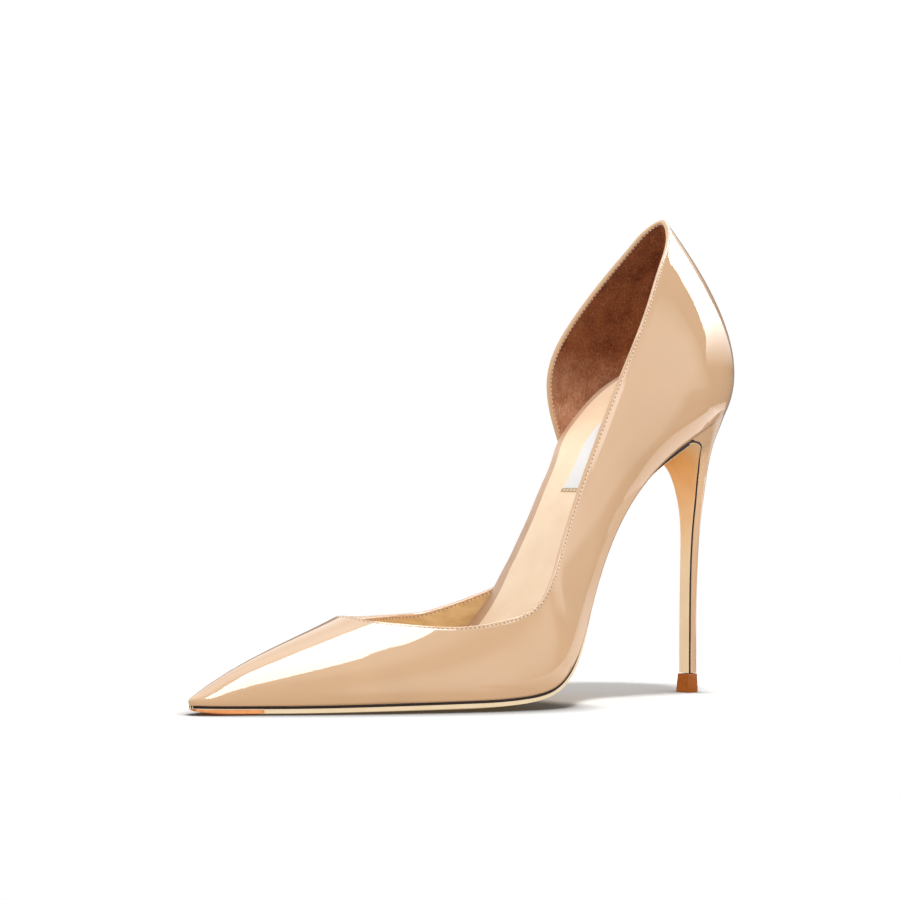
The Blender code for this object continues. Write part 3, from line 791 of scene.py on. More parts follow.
def make_stitches(upper, thread, hole_shade):
    """Stitches with a dark dot between each two as painted shade in the needle hole, on the outside and
    through the lining.
    """
    line = upper.points[upper.line]
    keep = np.append(True, np.diff(run_length(line)) > SAME_PLACE)
    line = line[keep]
    away = upper.away[upper.line][keep]
    tangent = np.gradient(line, axis=0)
    outer = upper.points + upper.normals * upper.bead[:, None]
    inner = upper.points + upper.normals * LINING[1]
    for face, flip, where in ((outer, 1.0, ""), (inner, -1.0, "inside_")):
        tree = surface_tree(face, upper.faces)
        # The needle holes are flush dark dots of painted shade
        for name, phase, size, proud, material in (("edge_stitches", 0.0, STITCH_SIZE, STITCH_PROUD, thread),
                                                   ("hole_shade_dots", 0.5, HOLE_SHADE_SIZE, 0.0, hole_shade)):
            place = seam_places(line, phase)
            centres, normals = on_surface(tree, at(line, place) - STITCH_INSET * at(away, place))
            points, faces = scatter(centres + normals * (proud * flip), at(tangent, place), normals, size)
            new_piece(where + name, points, faces, [material])


# The sole

SOLE_COLUMNS = 33
ACROSS = np.sin(np.linspace(-math.pi / 2, math.pi / 2, SOLE_COLUMNS))
SIDE_SHARES = np.array([0.12, 0.5, 0.9])
CREAM_SHARES = np.array([0.03, 0.35, 0.75])
RAND_PROUD = 0.15
RAND_LIMIT = 0.9
EDGE_SOFTENING = 0.3
TAP_SINK = 0.02
SOLE_CLOSE = 0.05
WAIST_TUCK = 1.4
TUCK_END = (0.78, 0.86)
TOE_ROUND = 1.0
TOE_ROUND_RUN = 12.0


def sole_thickness(along):
    return np.interp(along, WAIST_RUN, (SOLE_CENTRE, SOLE_WAIST))


def sole_sides(along):
    inset = WAIST_INSET * (1 - ease(along, *WAIST_END)) + WAIST_TUCK * (1 - ease(along, *TUCK_END))
    inset = inset * ease(along, *WAIST_RUN)
    outer = half_width(OUTER, along) - inset
    inner = half_width(INNER, along) + inset
    return np.where(ACROSS > 0, ACROSS * outer, -ACROSS * inner)


def sole_underside(along, side):
    level = bed(along, 0.0, -GAP - sole_thickness(along))
    crown = bed(along, side)[:, 2] - bed(along, 0.0)[2]
    bevel = np.interp(along, WAIST_RUN, (SOLE_CENTRE - SOLE_EDGE, WAIST_BEVEL))
    share = np.clip((np.abs(ACROSS) - SOLE_FLAT_SHARE) / (1 - SOLE_FLAT_SHARE), 0, 1)
    inward = bottom_axes(along)[1]
    early = np.clip(1 - along * BOTTOM_RUN[-1] / TOE_ROUND_RUN, 0, 1)
    lower = level + inward * (bevel * share ** BEVEL_POWER + crown * share + TOE_ROUND * early ** 2)[:, None]
    lower[:, 1] = side
    return lower


def edge_points(top, bottom, out, dark):
    """Points down the edge of a sole: a painted band, a little proud, and the bare leather under it."""
    fall = bottom - top
    depth = np.linalg.norm(fall)
    band = min(dark / depth, RAND_LIMIT)
    shares = np.concatenate([SIDE_SHARES * band, band + CREAM_SHARES * (1 - band)])
    proud = np.repeat([RAND_PROUD, 0.0], [len(SIDE_SHARES), len(CREAM_SHARES)])
    return top + shares[:, None] * fall + proud[:, None] * out


def sole_ring(upper, lower, outs, dark):
    """A closed section: upper face, outer edge, underside and inner edge."""
    right = edge_points(upper[-1], lower[-1], outs[0], dark)
    left = edge_points(upper[0], lower[0], outs[1], dark)
    lower = lower.copy()
    lower[0] += (lower[1] - lower[0]) * EDGE_SOFTENING
    lower[-1] += (lower[-2] - lower[-1]) * EDGE_SOFTENING
    return np.concatenate([upper, right, lower[::-1], left[::-1]])


def rim_outs(along):
    return [rim_point(which, rim_share(which, along))[3] for which in (OUTER, INNER)]


class BreastLine:
    """The line that the sole's flap follows: from the seat, over a bend, and down the breast of the heel."""

    def __init__(self):
        start = along_at(FLAP_START)
        seat = bed(start, 0.0, -GAP)
        heelward = bottom_axes(start)[0]
        rows = [Breast(-seat[0], seat[2], half_width(OUTER, start)), FLAP_TOP]
        rows += [Breast(row.breast_back, row.breast_height, row.half_width) for row in HEEL]
        self.knots = run_length([(row.back, row.height) for row in rows])
        self.back = Spline(self.knots, [row.back for row in rows], start=-heelward[0])
        self.height = Spline(self.knots, [row.height for row in rows], start=heelward[2])
        self.half_width = Spline(self.knots, [row.half_width for row in rows])

    def into_heel(self, place):
        """Unit steps back and up, square to the line, towards the heel."""
        behind = max(place - SLOPE_REACH, 0.0)
        ahead = min(place + SLOPE_REACH, self.knots[-1])
        run = self.back(ahead) - self.back(behind)
        climb = self.height(ahead) - self.height(behind)
        length = math.hypot(run, climb)
        return -climb / length, run / length


BREAST = BreastLine()
SOLE_ROWS = 170
TIP_ROWS = 40
TIP_START = 0.03
TIP_CROWDING = 2.0
FLAP_ROWS = 90
FLAP_CROWDING = 1.3

# Faces that meet at more than this angle, in degrees, have a sharp edge between them
SOLE_CREASE = 40
CREASE = 50
SOCK_CREASE = 60


def ring_faces(ring_count, ring_size):
    """Faces through closed rings, with the ends closed by strips between points that face each other."""
    faces = []
    for ring in range(ring_count - 1):
        low = ring * ring_size
        high = low + ring_size
        for i in range(ring_size):
            j = (i + 1) % ring_size
            faces.append((low + i, high + i, high + j, low + j))
    last = (ring_count - 1) * ring_size
    for i in range((ring_size - 1) // 2):
        facing = ring_size - 1 - i
        strip = tuple(dict.fromkeys((i, i + 1, facing - 1, facing)))
        faces.append(strip)
        faces.append(tuple(last + k for k in reversed(strip)))
    return faces


def ring_piece(name, rings, material, crease):
    """A closed piece through rings of points."""
    faces = ring_faces(len(rings), len(rings[0]))
    return new_piece(name, np.concatenate(rings), faces, [material], None, crease)


def tip_rows(end):
    """Places along the bottom as far as an end, crowded at the toe tip."""
    return np.linspace(TIP_START, 1.0, TIP_ROWS) ** TIP_CROWDING * end


def make_sole(leather, paint):
    tap_end = along_at(TAP_LENGTH)
    rest = np.linspace(tap_end + GAP / BOTTOM_RUN[-1], along_at(FLAP_START), SOLE_ROWS)
    rings = []
    for along in np.concatenate([tip_rows(tap_end), rest]):
        side = sole_sides(along)
        upper = bed(along, side, -SOLE_CLOSE)
        if along <= tap_end:
            lower = bed(along, side, -GAP - SOLE_RAND)
        else:
            lower = sole_underside(along, side)
        painted = np.interp(along, WAIST_RUN, (SOLE_RAND, SOLE_WAIST))
        rings.append(sole_ring(upper, lower, rim_outs(along), painted))
    for place in np.linspace(0.0, 1.0, FLAP_ROWS + 1)[1:] ** FLAP_CROWDING * BREAST.knots[-1]:
        back_step, up_step = BREAST.into_heel(place)
        down = np.array([back_step, 0.0, -up_step])
        middle = np.array([-BREAST.back(place), 0.0, BREAST.height(place)])
        upper = middle + ACROSS[:, None] * BREAST.half_width(place) * SIDEWAYS
        rings.append(sole_ring(upper, upper + FLAP_THICKNESS * down, (SIDEWAYS, -SIDEWAYS), SOLE_RAND))
    size = len(rings[0])
    faces = ring_faces(len(rings), size)
    band = len(SIDE_SHARES)
    dark = set(range(SOLE_COLUMNS - 1, SOLE_COLUMNS + band)) | set(range(size - band - 1, size))
    paints = [int(i % size in dark) for i in range((len(rings) - 1) * size)]
    paints += [0] * (len(faces) - len(paints))
    piece = new_piece("leather_sole", np.concatenate(rings), faces, [leather, paint], paints,
                      SOLE_CREASE)
    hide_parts("outsole")
    return piece


def make_tap(material):
    rings = []
    for along in tip_rows(along_at(TAP_LENGTH - GAP / 2)):
        side = sole_sides(along)
        upper = bed(along, side, -GAP - SOLE_RAND - TAP_SINK)
        rings.append(sole_ring(upper, sole_underside(along, side), np.zeros((2, 3)), SOLE_RAND))
    piece = ring_piece("rubber_tap", rings, material, SOLE_CREASE)
    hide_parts("toe_tap")


# Insole and sock

BED_ROWS = 220
LAYER_ROUND = 6
INSOLE_RADIUS = 1.0
THICKNESS_BLUR = 0.03
BLUR_SAMPLES = 13
HOLLOW_ALONG = (0.62, 0.66, 0.70, 0.745, 0.775, 0.80, 0.835)
HOLLOW_DEPTH = (0.0, 0.4, 1.6, 2.2, 2.4, 1.6, 0.0)
HOLLOW_BLUR = 0.015


def blurred(along, knots, values, blur):
    """Values between knots, with the bends at the knots smoothed."""
    reach = np.linspace(-blur, blur, BLUR_SAMPLES)
    return np.mean([np.interp(along + step, knots, values) for step in reach], axis=0)


def insole_thickness(along):
    return blurred(along, [row.along for row in INSOLE], [row.thickness for row in INSOLE], THICKNESS_BLUR)


def open_hollow(along):
    """How far the insole's open edge is drawn in, beyond the edge of the solid."""
    return blurred(along, HOLLOW_ALONG, HOLLOW_DEPTH, HOLLOW_BLUR)


def insole_inset(along):
    """How far the insole lies in from the bottom's edge, on the outer and the inner side."""
    bare = window(along, BARE_START, BARE_END)
    return INSOLE_INSET, INSOLE_INSET + (BARE_INSET - INSOLE_INSET) * bare + open_hollow(along)


def make_insole(material):
    turns = np.linspace(0.0, math.pi, BED_ROWS + 1)
    end = 1 - INSOLE_INSET / BOTTOM_RUN[-1]
    corner = np.linspace(0.0, math.pi / 2, LAYER_ROUND)
    rings = []
    for along in (INSOLE_START + (end - INSOLE_START) * (1 - np.cos(turns)) / 2)[:-1]:
        outer, inner = insole_inset(along)
        low = half_width(INNER, along) + inner
        high = half_width(OUTER, along) - outer
        late = np.clip((along - SEAT_ROUNDING) / (end - SEAT_ROUNDING), 0, 1)
        half = (high - low) / 2 * math.sqrt(1 - late ** 2)
        bend = min(INSOLE_RADIUS, half / 2)
        round_side = half - bend * (1 - np.cos(corner))
        round_drop = bend * (1 - np.sin(corner))
        flat = ACROSS[1:-1] * (half - bend)
        side = (low + high) / 2 + np.concatenate([-round_side, flat, round_side[::-1]])
        drop = np.concatenate([round_drop, np.zeros(len(flat)), round_drop[::-1]])
        upper = bed(along, side, insole_thickness(along) - drop)
        rings.append(np.concatenate([upper, bed(along, side)[::-1]]))
    piece = ring_piece("wrapped_insole", rings, material, CREASE)
    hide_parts("insole")
    return piece


SOCK_ROWS = 200
SOCK_COLUMNS = 30
SOCK_CURL = 3.6
SOCK_CURL_RUN = (0.80, 0.93)
SOCK_BACK_CURL = 2.6
SOCK_BACK_RUN = (0.85, 0.98)
SOCK_CLEAR = 1.62
SOCK_BARE_INSET = 1.3
SOCK_BARE_END = (0.75, 0.84)
SOCK_STEP = 0.55
SOCK_STEP_RUN = np.array([0.0, 0.08, 0.22, 0.45])
SOCK_STEP_RISE = np.array([0.0, 0.55, 0.88, 1.0])
MARGIN_COLUMNS = 4
MARGIN_ALONG = (0.40, 0.50, 0.56, 0.62, 0.72, 0.80, 0.90, 0.97)
MARGIN_WIDTH = (6.0, 6.5, 5.2, 3.6, 3.2, 2.6, 1.4, 0.3)
SOCK_MIDDLE_END = 0.93
WALL_SAMPLES = 60
WALL_REACH = 0.45
WALL_STEP = 0.004
SOCK_SHEET = 0.6
NARROW_SHARE = 4
NO_WIDTH = 1e-6
DIP_WIDTH = 0.8
DIP_POWER = 4


def sock_top(along):
    return insole_thickness(along) + GAP + SOCK_THICKNESS


def wall_points(which, alongs, lifts):
    """Points just inside the upper's lining, at a height over the last's bottom."""
    shares = rim_share(which, alongs)
    heights = np.linspace(0.0, WALL_REACH, WALL_SAMPLES)
    inward = bottom_axes(alongs)[1]
    points = np.empty((len(alongs), 3))
    for i, (share, lift) in enumerate(zip(shares, lifts)):
        rib = skin(which, np.full(WALL_SAMPLES, share), heights)
        climb = (rib - rib[0]) @ inward[i]
        height = np.interp(lift, climb, heights)
        around = np.clip(share + WALL_STEP * np.array([-1, 1, 0, 0, 0]), 0.0, 1.0)
        up = height + WALL_STEP * np.array([0, 0, -1, 1, 0])
        behind, ahead, low, high, here = skin(which, around, np.maximum(up, 0.0))
        normal = unit(np.cross(high - low, ahead - behind))
        middle = bed(np.array([min(alongs[i], SOCK_MIDDLE_END)]), np.zeros(1), np.array([lift]))[0]
        outward = normal if normal @ (here - middle) > 0 else -normal
        points[i] = here - SOCK_CLEAR * outward
    return points


class Sock:
    """The insole's bare margin and the sock lining: rows across the foot from the inner to the outer edge."""

    def __init__(self):
        turns = np.linspace(0.0, math.pi / 2, SOCK_ROWS + 1)
        self.alongs = SOCK_START + (1 - SOCK_START) * np.sin(turns)
        top = sock_top(self.alongs)
        curl = SOCK_CURL * ease(self.alongs, *SOCK_CURL_RUN)
        curl = curl + SOCK_BACK_CURL * ease(self.alongs, *SOCK_BACK_RUN)
        outer = wall_points(OUTER, self.alongs, top + curl)
        inner = wall_points(INNER, self.alongs, top + curl)
        bare = window(self.alongs, BARE_START, SOCK_BARE_END)
        inset = SOCK_BARE_INSET + open_hollow(self.alongs)
        open_edge = bed(self.alongs, half_width(INNER, self.alongs) + inset, top)
        inner = inner + (open_edge - inner) * bare[:, None]
        width = np.linalg.norm(outer - inner, axis=1)
        margin = np.minimum(np.interp(self.alongs, MARGIN_ALONG, MARGIN_WIDTH), width / NARROW_SHARE)
        room = np.minimum(1.0, width / (NARROW_SHARE * SOCK_STEP_RUN[-1]))
        bare_part = np.linspace(0.0, 1.0, MARGIN_COLUMNS)[None, :-1] * margin[:, None]
        step_part = margin[:, None] + SOCK_STEP_RUN[None, :] * room[:, None]
        body = (1 - np.cos(np.linspace(math.pi / 3, math.pi, SOCK_COLUMNS))) / 2
        body = (body - body[0]) / (body[-1] - body[0])
        body_part = step_part[:, -1:] + (width[:, None] - step_part[:, -1:]) * body[None, 1:]
        across = np.concatenate([bare_part, step_part, body_part], axis=1)
        rise = np.concatenate([np.zeros(MARGIN_COLUMNS - 1), SOCK_STEP_RISE, np.ones(SOCK_COLUMNS - 1)])
        share = across / np.maximum(width[:, None], NO_WIDTH)
        dip = curl * np.minimum(1.0, width / (DIP_WIDTH * width[len(width) // 2]))
        crown = 1 - (2 * share - 1) ** DIP_POWER
        rows = inner[:, None] + (outer - inner)[:, None] * share[..., None]
        inward = bottom_axes(self.alongs)[1]
        level = (rise[None, :] - 1) * SOCK_STEP * room[:, None] - dip[:, None] * crown
        self.points = rows + inward[:, None] * level[..., None]
        self.share = share
        self.columns = share.shape[1]

    def at(self, along, share):
        """A point of the face at a place along the foot and a share of the way across it."""
        row = np.interp(along, self.alongs, np.arange(len(self.alongs)))
        i = min(int(row), len(self.alongs) - 2)
        low, high = (np.array([np.interp(share, self.share[k], line) for line in self.points[k].T])
                     for k in (i, i + 1))
        return low + (high - low) * (row - i)


def sheet(grid, outside, inside, rolled=False):
    """A closed sheet between two offsets from a grid of points, taken upwards."""
    points = grid.reshape(-1, 3)
    faces = grid_faces(*grid.shape[:2])
    normals = point_normals(points, faces)
    if normals[len(normals) // 2, 2] < 0:
        faces = [tuple(reversed(face)) for face in faces]
        normals = -normals
    return shell(points, faces, normals, outside, inside, rolled)


def make_sock(sock, leather, wrap):
    """A thin dished sheet: the sock lining, and beside it the margin of the wrapped insole."""
    points, faces = sheet(sock.points, 0.0, -SOCK_SHEET, rolled=True)
    paints = []
    for face in faces:
        below = max(face) >= sock.share.size
        on_margin = min(i % sock.columns for i in face) < MARGIN_COLUMNS - 1
        paints.append(int(on_margin or below))
    piece = new_piece("sock_lining", points, faces, [leather, wrap], paints, SOCK_CREASE)
    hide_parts("sock")
    return piece


LABEL_ALONG = (0.738, 0.862)
LABEL_SHARE = (0.31, 0.76)
LABEL_GRID = (30, 24)
LABEL_LIFT = (0.02, 0.22)
LABEL_TAPE = (0.7325, 0.7375)
TAPE_SHARE = (0.29, 0.78)
TAPE_LIFT = (0.02, 0.16)
LABEL_STITCH = (0.55, 0.28, 0.20)
LABEL_STITCH_PITCH = 1.6
LABEL_STITCH_SLANT = 0.6
TAPE_STEP = (0.004, 0.01)


def sock_patch(sock, name, alongs, shares, lift, material):
    """A thin piece of cloth laid on the sock lining."""
    rows = np.linspace(*alongs, LABEL_GRID[0])
    columns = np.linspace(*shares, LABEL_GRID[1])
    grid = np.array([[sock.at(along, share) for share in columns] for along in rows])
    points, faces = sheet(grid, lift[1], lift[0])
    return new_piece(name, points, faces, [material], None, CREASE)


def make_label(sock, cloth, tape, thread):
    """A bare woven label on the sock lining, sewn down through a tape along its front edge."""
    label = sock_patch(sock, "bare_label", LABEL_ALONG, LABEL_SHARE, LABEL_LIFT, cloth)
    strip = sock_patch(sock, "label_tape", LABEL_TAPE, TAPE_SHARE, TAPE_LIFT, tape)
    along = sum(LABEL_TAPE) / 2
    ends = [sock.at(along, share) for share in TAPE_SHARE]
    steps = int(np.linalg.norm(ends[1] - ends[0]) / LABEL_STITCH_PITCH)
    shares = np.linspace(*TAPE_SHARE, steps + 1)[1:-1]
    here = np.array([sock.at(along, share) for share in shares])
    side = np.array([sock.at(along, share + TAPE_STEP[1]) for share in shares]) - here
    ahead = np.array([sock.at(along + TAPE_STEP[0], share) for share in shares]) - here
    up = unit(np.cross(side, ahead))
    up *= np.sign(up[:, 2:])
    slant = unit(side) + LABEL_STITCH_SLANT * unit(ahead)
    points, faces = scatter(here + up * TAPE_LIFT[1], slant, up, LABEL_STITCH)
    return [label, strip, new_piece("label_stitches", points, faces, [thread])]


# Heel and top piece

HEEL_RINGS = 140
HALF_RING = 33
TOP_BEVEL = 0.5

# Heights on the top piece, and how far its edges are drawn in there
TOP_PROFILE = [
    (0.0, TOP_BEVEL),
    (0.15, 0.15),
    (TOP_BEVEL, 0.0),
    (TOP_PIECE_HEIGHT - 0.3, 0.0),
    (TOP_PIECE_HEIGHT - 0.08, 0.08),
    (TOP_PIECE_HEIGHT, 0.3),
]


def heel_ring(front, front_height, rear, rear_height, half):
    """A D-shaped section: flat at the breast, round behind, and sloping from front to rear."""
    share = np.sin(np.linspace(0.0, math.pi / 2, HALF_RING))
    back = front + (rear - front) * share
    height = front_height + (rear_height - front_height) * share
    side = half * (1 - share ** ROUNDNESS) ** (1 / ROUNDNESS)
    outer = np.stack([-back, side, height], axis=1)
    inner = outer[-2::-1] * np.array([1.0, -1.0, 1.0])
    return np.concatenate([outer, inner])


def seat_ring():
    """The heel's top edge, which follows the edge of the last's bottom just inside it."""
    halves = []
    for which in (OUTER, INNER):
        start = rim_share(which, along_at(SEAT_FRONT))
        along, _, point, out = rim_point(which, np.linspace(start, 1.0, HALF_RING))
        inward = bottom_axes(along)[1]
        half = point - SEAT_INSET * out - SOLE_CLOSE * inward
        half[-1, 1] = 0.0
        halves.append(half)
    return np.concatenate([halves[0], halves[1][-2::-1]])


def make_heel(material):
    rows = []
    for row, place in zip(reversed(HEEL), reversed(BREAST.knots)):
        back_step, up_step = BREAST.into_heel(place)
        front = row.breast_back + SOLE_CLOSE * back_step
        front_height = row.breast_height + SOLE_CLOSE * up_step
        rows.append(heel_ring(front, front_height, row.rear_back, row.rear_height, row.half_width))
    rows = np.array(rows + [seat_ring()])
    knots = run_length(rows.mean(axis=1))
    places = np.linspace(0.0, knots[-1], HEEL_RINGS)
    lines = [line(places) for line in splines(knots, rows.reshape(len(rows), -1))]
    rings = np.stack(lines, axis=-1).reshape(HEEL_RINGS, -1, 3)
    piece = ring_piece("covered_heel", rings, material, CREASE)
    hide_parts("heel")
    return piece


def make_top_piece(material):
    foot = HEEL[-1]
    rings = []
    for height, shrink in TOP_PROFILE:
        grow = TOP_PIECE_FLARE * (1 - height / TOP_PIECE_HEIGHT)
        reach = TOP_PIECE_OVERHANG + grow - shrink
        front = foot.breast_back - FLAP_THICKNESS - reach
        rear = foot.rear_back + reach
        rings.append(heel_ring(front, height, rear, height, foot.half_width + reach))
    piece = ring_piece("heel_tip", rings, material, CREASE)
    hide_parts("top_piece")


# Materials

class Nodes:
    """The nodes of a material or of a world, added one at a time."""

    def __init__(self, owner):
        owner.use_nodes = True
        self.tree = owner.node_tree

    def feed(self, socket, value):
        """Link an input to another node's output, or give it a value. A colour comes without its alpha."""
        if isinstance(value, bpy.types.NodeSocket):
            self.tree.links.new(value, socket)
        elif socket.type == "RGBA":
            socket.default_value = (*value, 1.0)
        else:
            socket.default_value = value

    def add(self, kind, inputs, output=0, **settings):
        """An output of a new node, whose inputs are given by their names or numbers."""
        node = self.tree.nodes.new(kind)
        for setting, value in settings.items():
            setattr(node, setting, value)
        for socket, value in inputs.items():
            self.feed(node.inputs[socket], value)
        return node.outputs[output]

    def calculate(self, operation, *values):
        return self.add("ShaderNodeMath", dict(enumerate(values)), operation=operation)

    def mix(self, share, first, second):
        """A colour between two colours."""
        return self.add("ShaderNodeMix", {0: share, 6: first, 7: second}, 2, data_type="RGBA")

    def spread(self, value, low, high, start=0.0, end=1.0, interpolation="LINEAR"):
        """A value between low and high, stretched to run from start to end."""
        span = {"Value": value, "From Min": low, "From Max": high, "To Min": start, "To Max": end}
        return self.add("ShaderNodeMapRange", span, "Result", interpolation_type=interpolation)

    def show(self, shader):
        self.feed(self.tree.nodes["Material Output"].inputs["Surface"], shader)


class Paint(Nodes):
    """A material round its principled shader."""

    def __init__(self, name, colour, roughness, **sockets):
        self.material = bpy.data.materials.new(name)
        super().__init__(self.material)
        self.shader = self.tree.nodes["Principled BSDF"]
        self.set(Base_Color=colour, Roughness=roughness, **sockets)
        self.place = self.add("ShaderNodeTexCoord", {}, "Object")

    def set(self, **sockets):
        """Feed the shader's inputs, whose names have _ for a space."""
        for socket, value in sockets.items():
            self.feed(self.shader.inputs[socket.replace("_", " ")], value)

    def noise(self, size, detail=3.0, stretch=(1.0, 1.0, 1.0)):
        """Soft noise whose grains are about as big as the size, in millimetres."""
        place = self.add("ShaderNodeMapping", {"Vector": self.place, "Scale": stretch})
        grain = {"Vector": place, "Scale": 1.0 / (size * MM), "Detail": detail}
        return self.add("ShaderNodeTexNoise", grain, "Fac")

    def cells(self, size):
        """Distance to the middle of cells of about a size, in millimetres."""
        grain = {"Vector": self.place, "Scale": 1.0 / (size * MM)}
        return self.add("ShaderNodeTexVoronoi", grain, "Distance")

    def axis(self, name):
        return self.add("ShaderNodeSeparateXYZ", {"Vector": self.place}, name)

    def tones(self, noise, dark, light):
        """A colour that drifts between two tones."""
        return self.mix(self.spread(noise, *NOISE_SPAN), dark, light)

    def relief(self, height, depth, strength):
        """The finished material, with relief of a depth in millimetres."""
        bump = {"Height": height, "Distance": depth * MM, "Strength": strength}
        self.set(Normal=self.add("ShaderNodeBump", bump))
        return self.material


NOISE_SPAN = (0.3, 0.7)
PATENT = (0.74, 0.482, 0.289)
PATENT_DRIFT = (0.97, 1.02)


def patent_paint():
    paint = Paint("patent", PATENT, 0.38, Coat_Weight=1.0, Coat_Roughness=0.025, Coat_IOR=1.5,
                  Specular_IOR_Level=0.0)
    dark, light = (tuple(share * part for part in PATENT) for share in PATENT_DRIFT)
    paint.set(Base_Color=paint.tones(paint.noise(18.0, 2.0), dark, light))
    return paint.relief(paint.noise(0.45, 2.0), 0.012, 0.5)


def suede_paint():
    """Brown nap with pale fibres, blotched, and lighter and pinker towards the insole."""
    paint = Paint("suede", (0.2, 0.07, 0.02), 0.95, Sheen_Weight=0.15, Sheen_Roughness=0.5,
                  Sheen_Tint=(1.0, 0.65, 0.45), Specular_IOR_Level=0.1)
    blotch = paint.spread(paint.noise(7.0, 4.0), 0.32, 0.68)
    nap = paint.spread(paint.noise(0.5, 3.0, (1.0, 1.0, 0.5)), 0.35, 0.65)
    fibre = paint.spread(paint.noise(0.3, 2.0, (1.0, 1.0, 0.3)), 0.48, 0.75)
    brown = paint.mix(blotch, (0.175, 0.040, 0.013), (0.360, 0.120, 0.043))
    low_pale_tone = paint.mix(blotch, (0.560, 0.255, 0.145), (0.860, 0.510, 0.335))
    # Lighter and pinker towards the bottom of the cup
    toward_insole_tone = paint.mix(paint.spread(paint.axis("Z"), 0.118, 0.095), brown, low_pale_tone)
    deep = paint.mix(paint.spread(nap, 0.0, 1.0, 0.0, 0.45), toward_insole_tone, (0.09, 0.025, 0.01))
    pale = paint.mix(paint.spread(fibre, 0.0, 1.0, 0.0, 0.35), deep, (0.80, 0.42, 0.22))
    paint.set(Base_Color=pale)
    rough = paint.calculate("MULTIPLY_ADD", nap, 0.8, paint.noise(0.25, 2.0))
    return paint.relief(rough, 0.12, 0.7)


def lining_paint():
    paint = Paint("lining", (0.74, 0.53, 0.27), 0.5)
    streak = paint.noise(2.2, 3.0, (0.2, 1.0, 1.0))
    paint.set(Base_Color=paint.tones(streak, (0.72, 0.49, 0.22), (0.90, 0.67, 0.36)))
    return paint.relief(paint.cells(0.5), 0.03, 0.5)


def sock_paint():
    paint = Paint("sock", (0.93, 0.72, 0.50), 0.48)
    paint.set(Base_Color=paint.tones(paint.noise(9.0), (0.91, 0.69, 0.475), (0.95, 0.745, 0.53)))
    grain = paint.calculate("MULTIPLY_ADD", paint.noise(1.5), 0.5, paint.cells(0.6))
    return paint.relief(grain, 0.03, 0.45)


def wrap_paint():
    paint = Paint("wrap", (0.68, 0.45, 0.29), 0.34)
    paint.set(Base_Color=paint.tones(paint.noise(6.0), (0.55, 0.355, 0.23), (0.62, 0.41, 0.275)))
    return paint.relief(paint.cells(0.5), 0.02, 0.4)


def sole_paint():
    """Cream leather, and orange high up under the arch, paler towards the outer side."""
    paint = Paint("sole", (0.95, 0.77, 0.54), 0.45)
    cream = paint.tones(paint.noise(8.0), (0.93, 0.735, 0.475), (0.97, 0.79, 0.54))
    orange = paint.tones(paint.noise(7.0), (0.88, 0.44, 0.125), (0.95, 0.52, 0.17))
    # Paler towards the outer side
    outer_pale_tone = paint.mix(paint.spread(paint.axis("Y"), 0.002, 0.014, 0.0, 0.65), orange, cream)
    paint.set(Base_Color=paint.mix(paint.spread(paint.axis("Z"), 0.044, 0.080), cream, outer_pale_tone),
              Roughness=paint.spread(paint.noise(1.2), *NOISE_SPAN, 0.38, 0.52))
    return paint.relief(paint.noise(0.35, 3.0, (0.3, 1.0, 1.0)), 0.02, 0.5)


def edge_paint():
    paint = Paint("edge", (0.03, 0.018, 0.016), 0.5, Specular_IOR_Level=0.2)
    paint.set(Base_Color=paint.mix(paint.noise(1.0), (0.018, 0.010, 0.010), (0.045, 0.028, 0.025)))
    return paint.relief(paint.noise(0.4), 0.02, 0.4)


def rubber_paint(name, dark, light):
    paint = Paint(name, light, 0.6, Specular_IOR_Level=0.2)
    paint.set(Base_Color=paint.tones(paint.noise(1.5), dark, light),
              Roughness=paint.spread(paint.noise(0.6), *NOISE_SPAN, 0.5, 0.7))
    return paint.relief(paint.noise(0.3), 0.03, 0.5)


def thread_paint(name, dark, light):
    paint = Paint(name, light, 0.65, Sheen_Weight=0.3)
    paint.set(Base_Color=paint.mix(paint.noise(0.3), dark, light))
    return paint.relief(paint.noise(0.12, 1.0), 0.02, 0.6)


def label_paint():
    paint = Paint("label", (0.88, 0.87, 0.85), 0.42, Sheen_Weight=0.25)
    paint.set(Base_Color=paint.tones(paint.noise(0.4), (0.76, 0.755, 0.745), (0.82, 0.815, 0.805)))
    return paint.relief(paint.noise(0.18, 1.0, (1.0, 0.25, 1.0)), 0.03, 0.6)


def make_materials():
    return {
        "patent": patent_paint(),
        "suede": suede_paint(),
        "lining": lining_paint(),
        "sock": sock_paint(),
        "wrap": wrap_paint(),
        "sole": sole_paint(),
        "edge": edge_paint(),
        "tap": rubber_paint("tap", (0.92, 0.34, 0.11), (0.98, 0.44, 0.18)),
        "tip": rubber_paint("tip", (0.33, 0.080, 0.003), (0.43, 0.115, 0.006)),
        "thread": thread_paint("thread", (0.82, 0.64, 0.49), (0.93, 0.80, 0.67)),
        # Dark brown dots that paint the shade inside the needle holes
        "hole_shade": thread_paint("hole_shade", (0.20, 0.09, 0.04), (0.36, 0.18, 0.09)),
        "gold": thread_paint("gold", (0.42, 0.25, 0.09), (0.62, 0.43, 0.21)),
        "pale": thread_paint("pale", (0.88, 0.82, 0.72), (0.95, 0.91, 0.84)),
        "label": label_paint(),
    }


# Floor and light

FLOOR_HALF = 6.0
FLOOR_GREY = 0.53
FLOOR_ROUGHNESS = 0.9
FLOOR_WHITE_FROM = (0.20, 0.32)
# A contact shadow painted into the floor's colour: how far it reaches, its span of occlusion and its darkest
# grey
PAINTED_SHADOW_REACH = 20.0
PAINTED_SHADOW_RANGE = (0.5, 0.95)
PAINTED_SHADOW_GREY = 0.13
TOP_LIGHT = 1.15
TOP_LIGHT_SIZE = 140.0
TOP_LIGHT_PLACE = (-30.0, 250.0, 1100.0)
TOP_LIGHT_AIM = (-60.0, 0.0, 0.0)

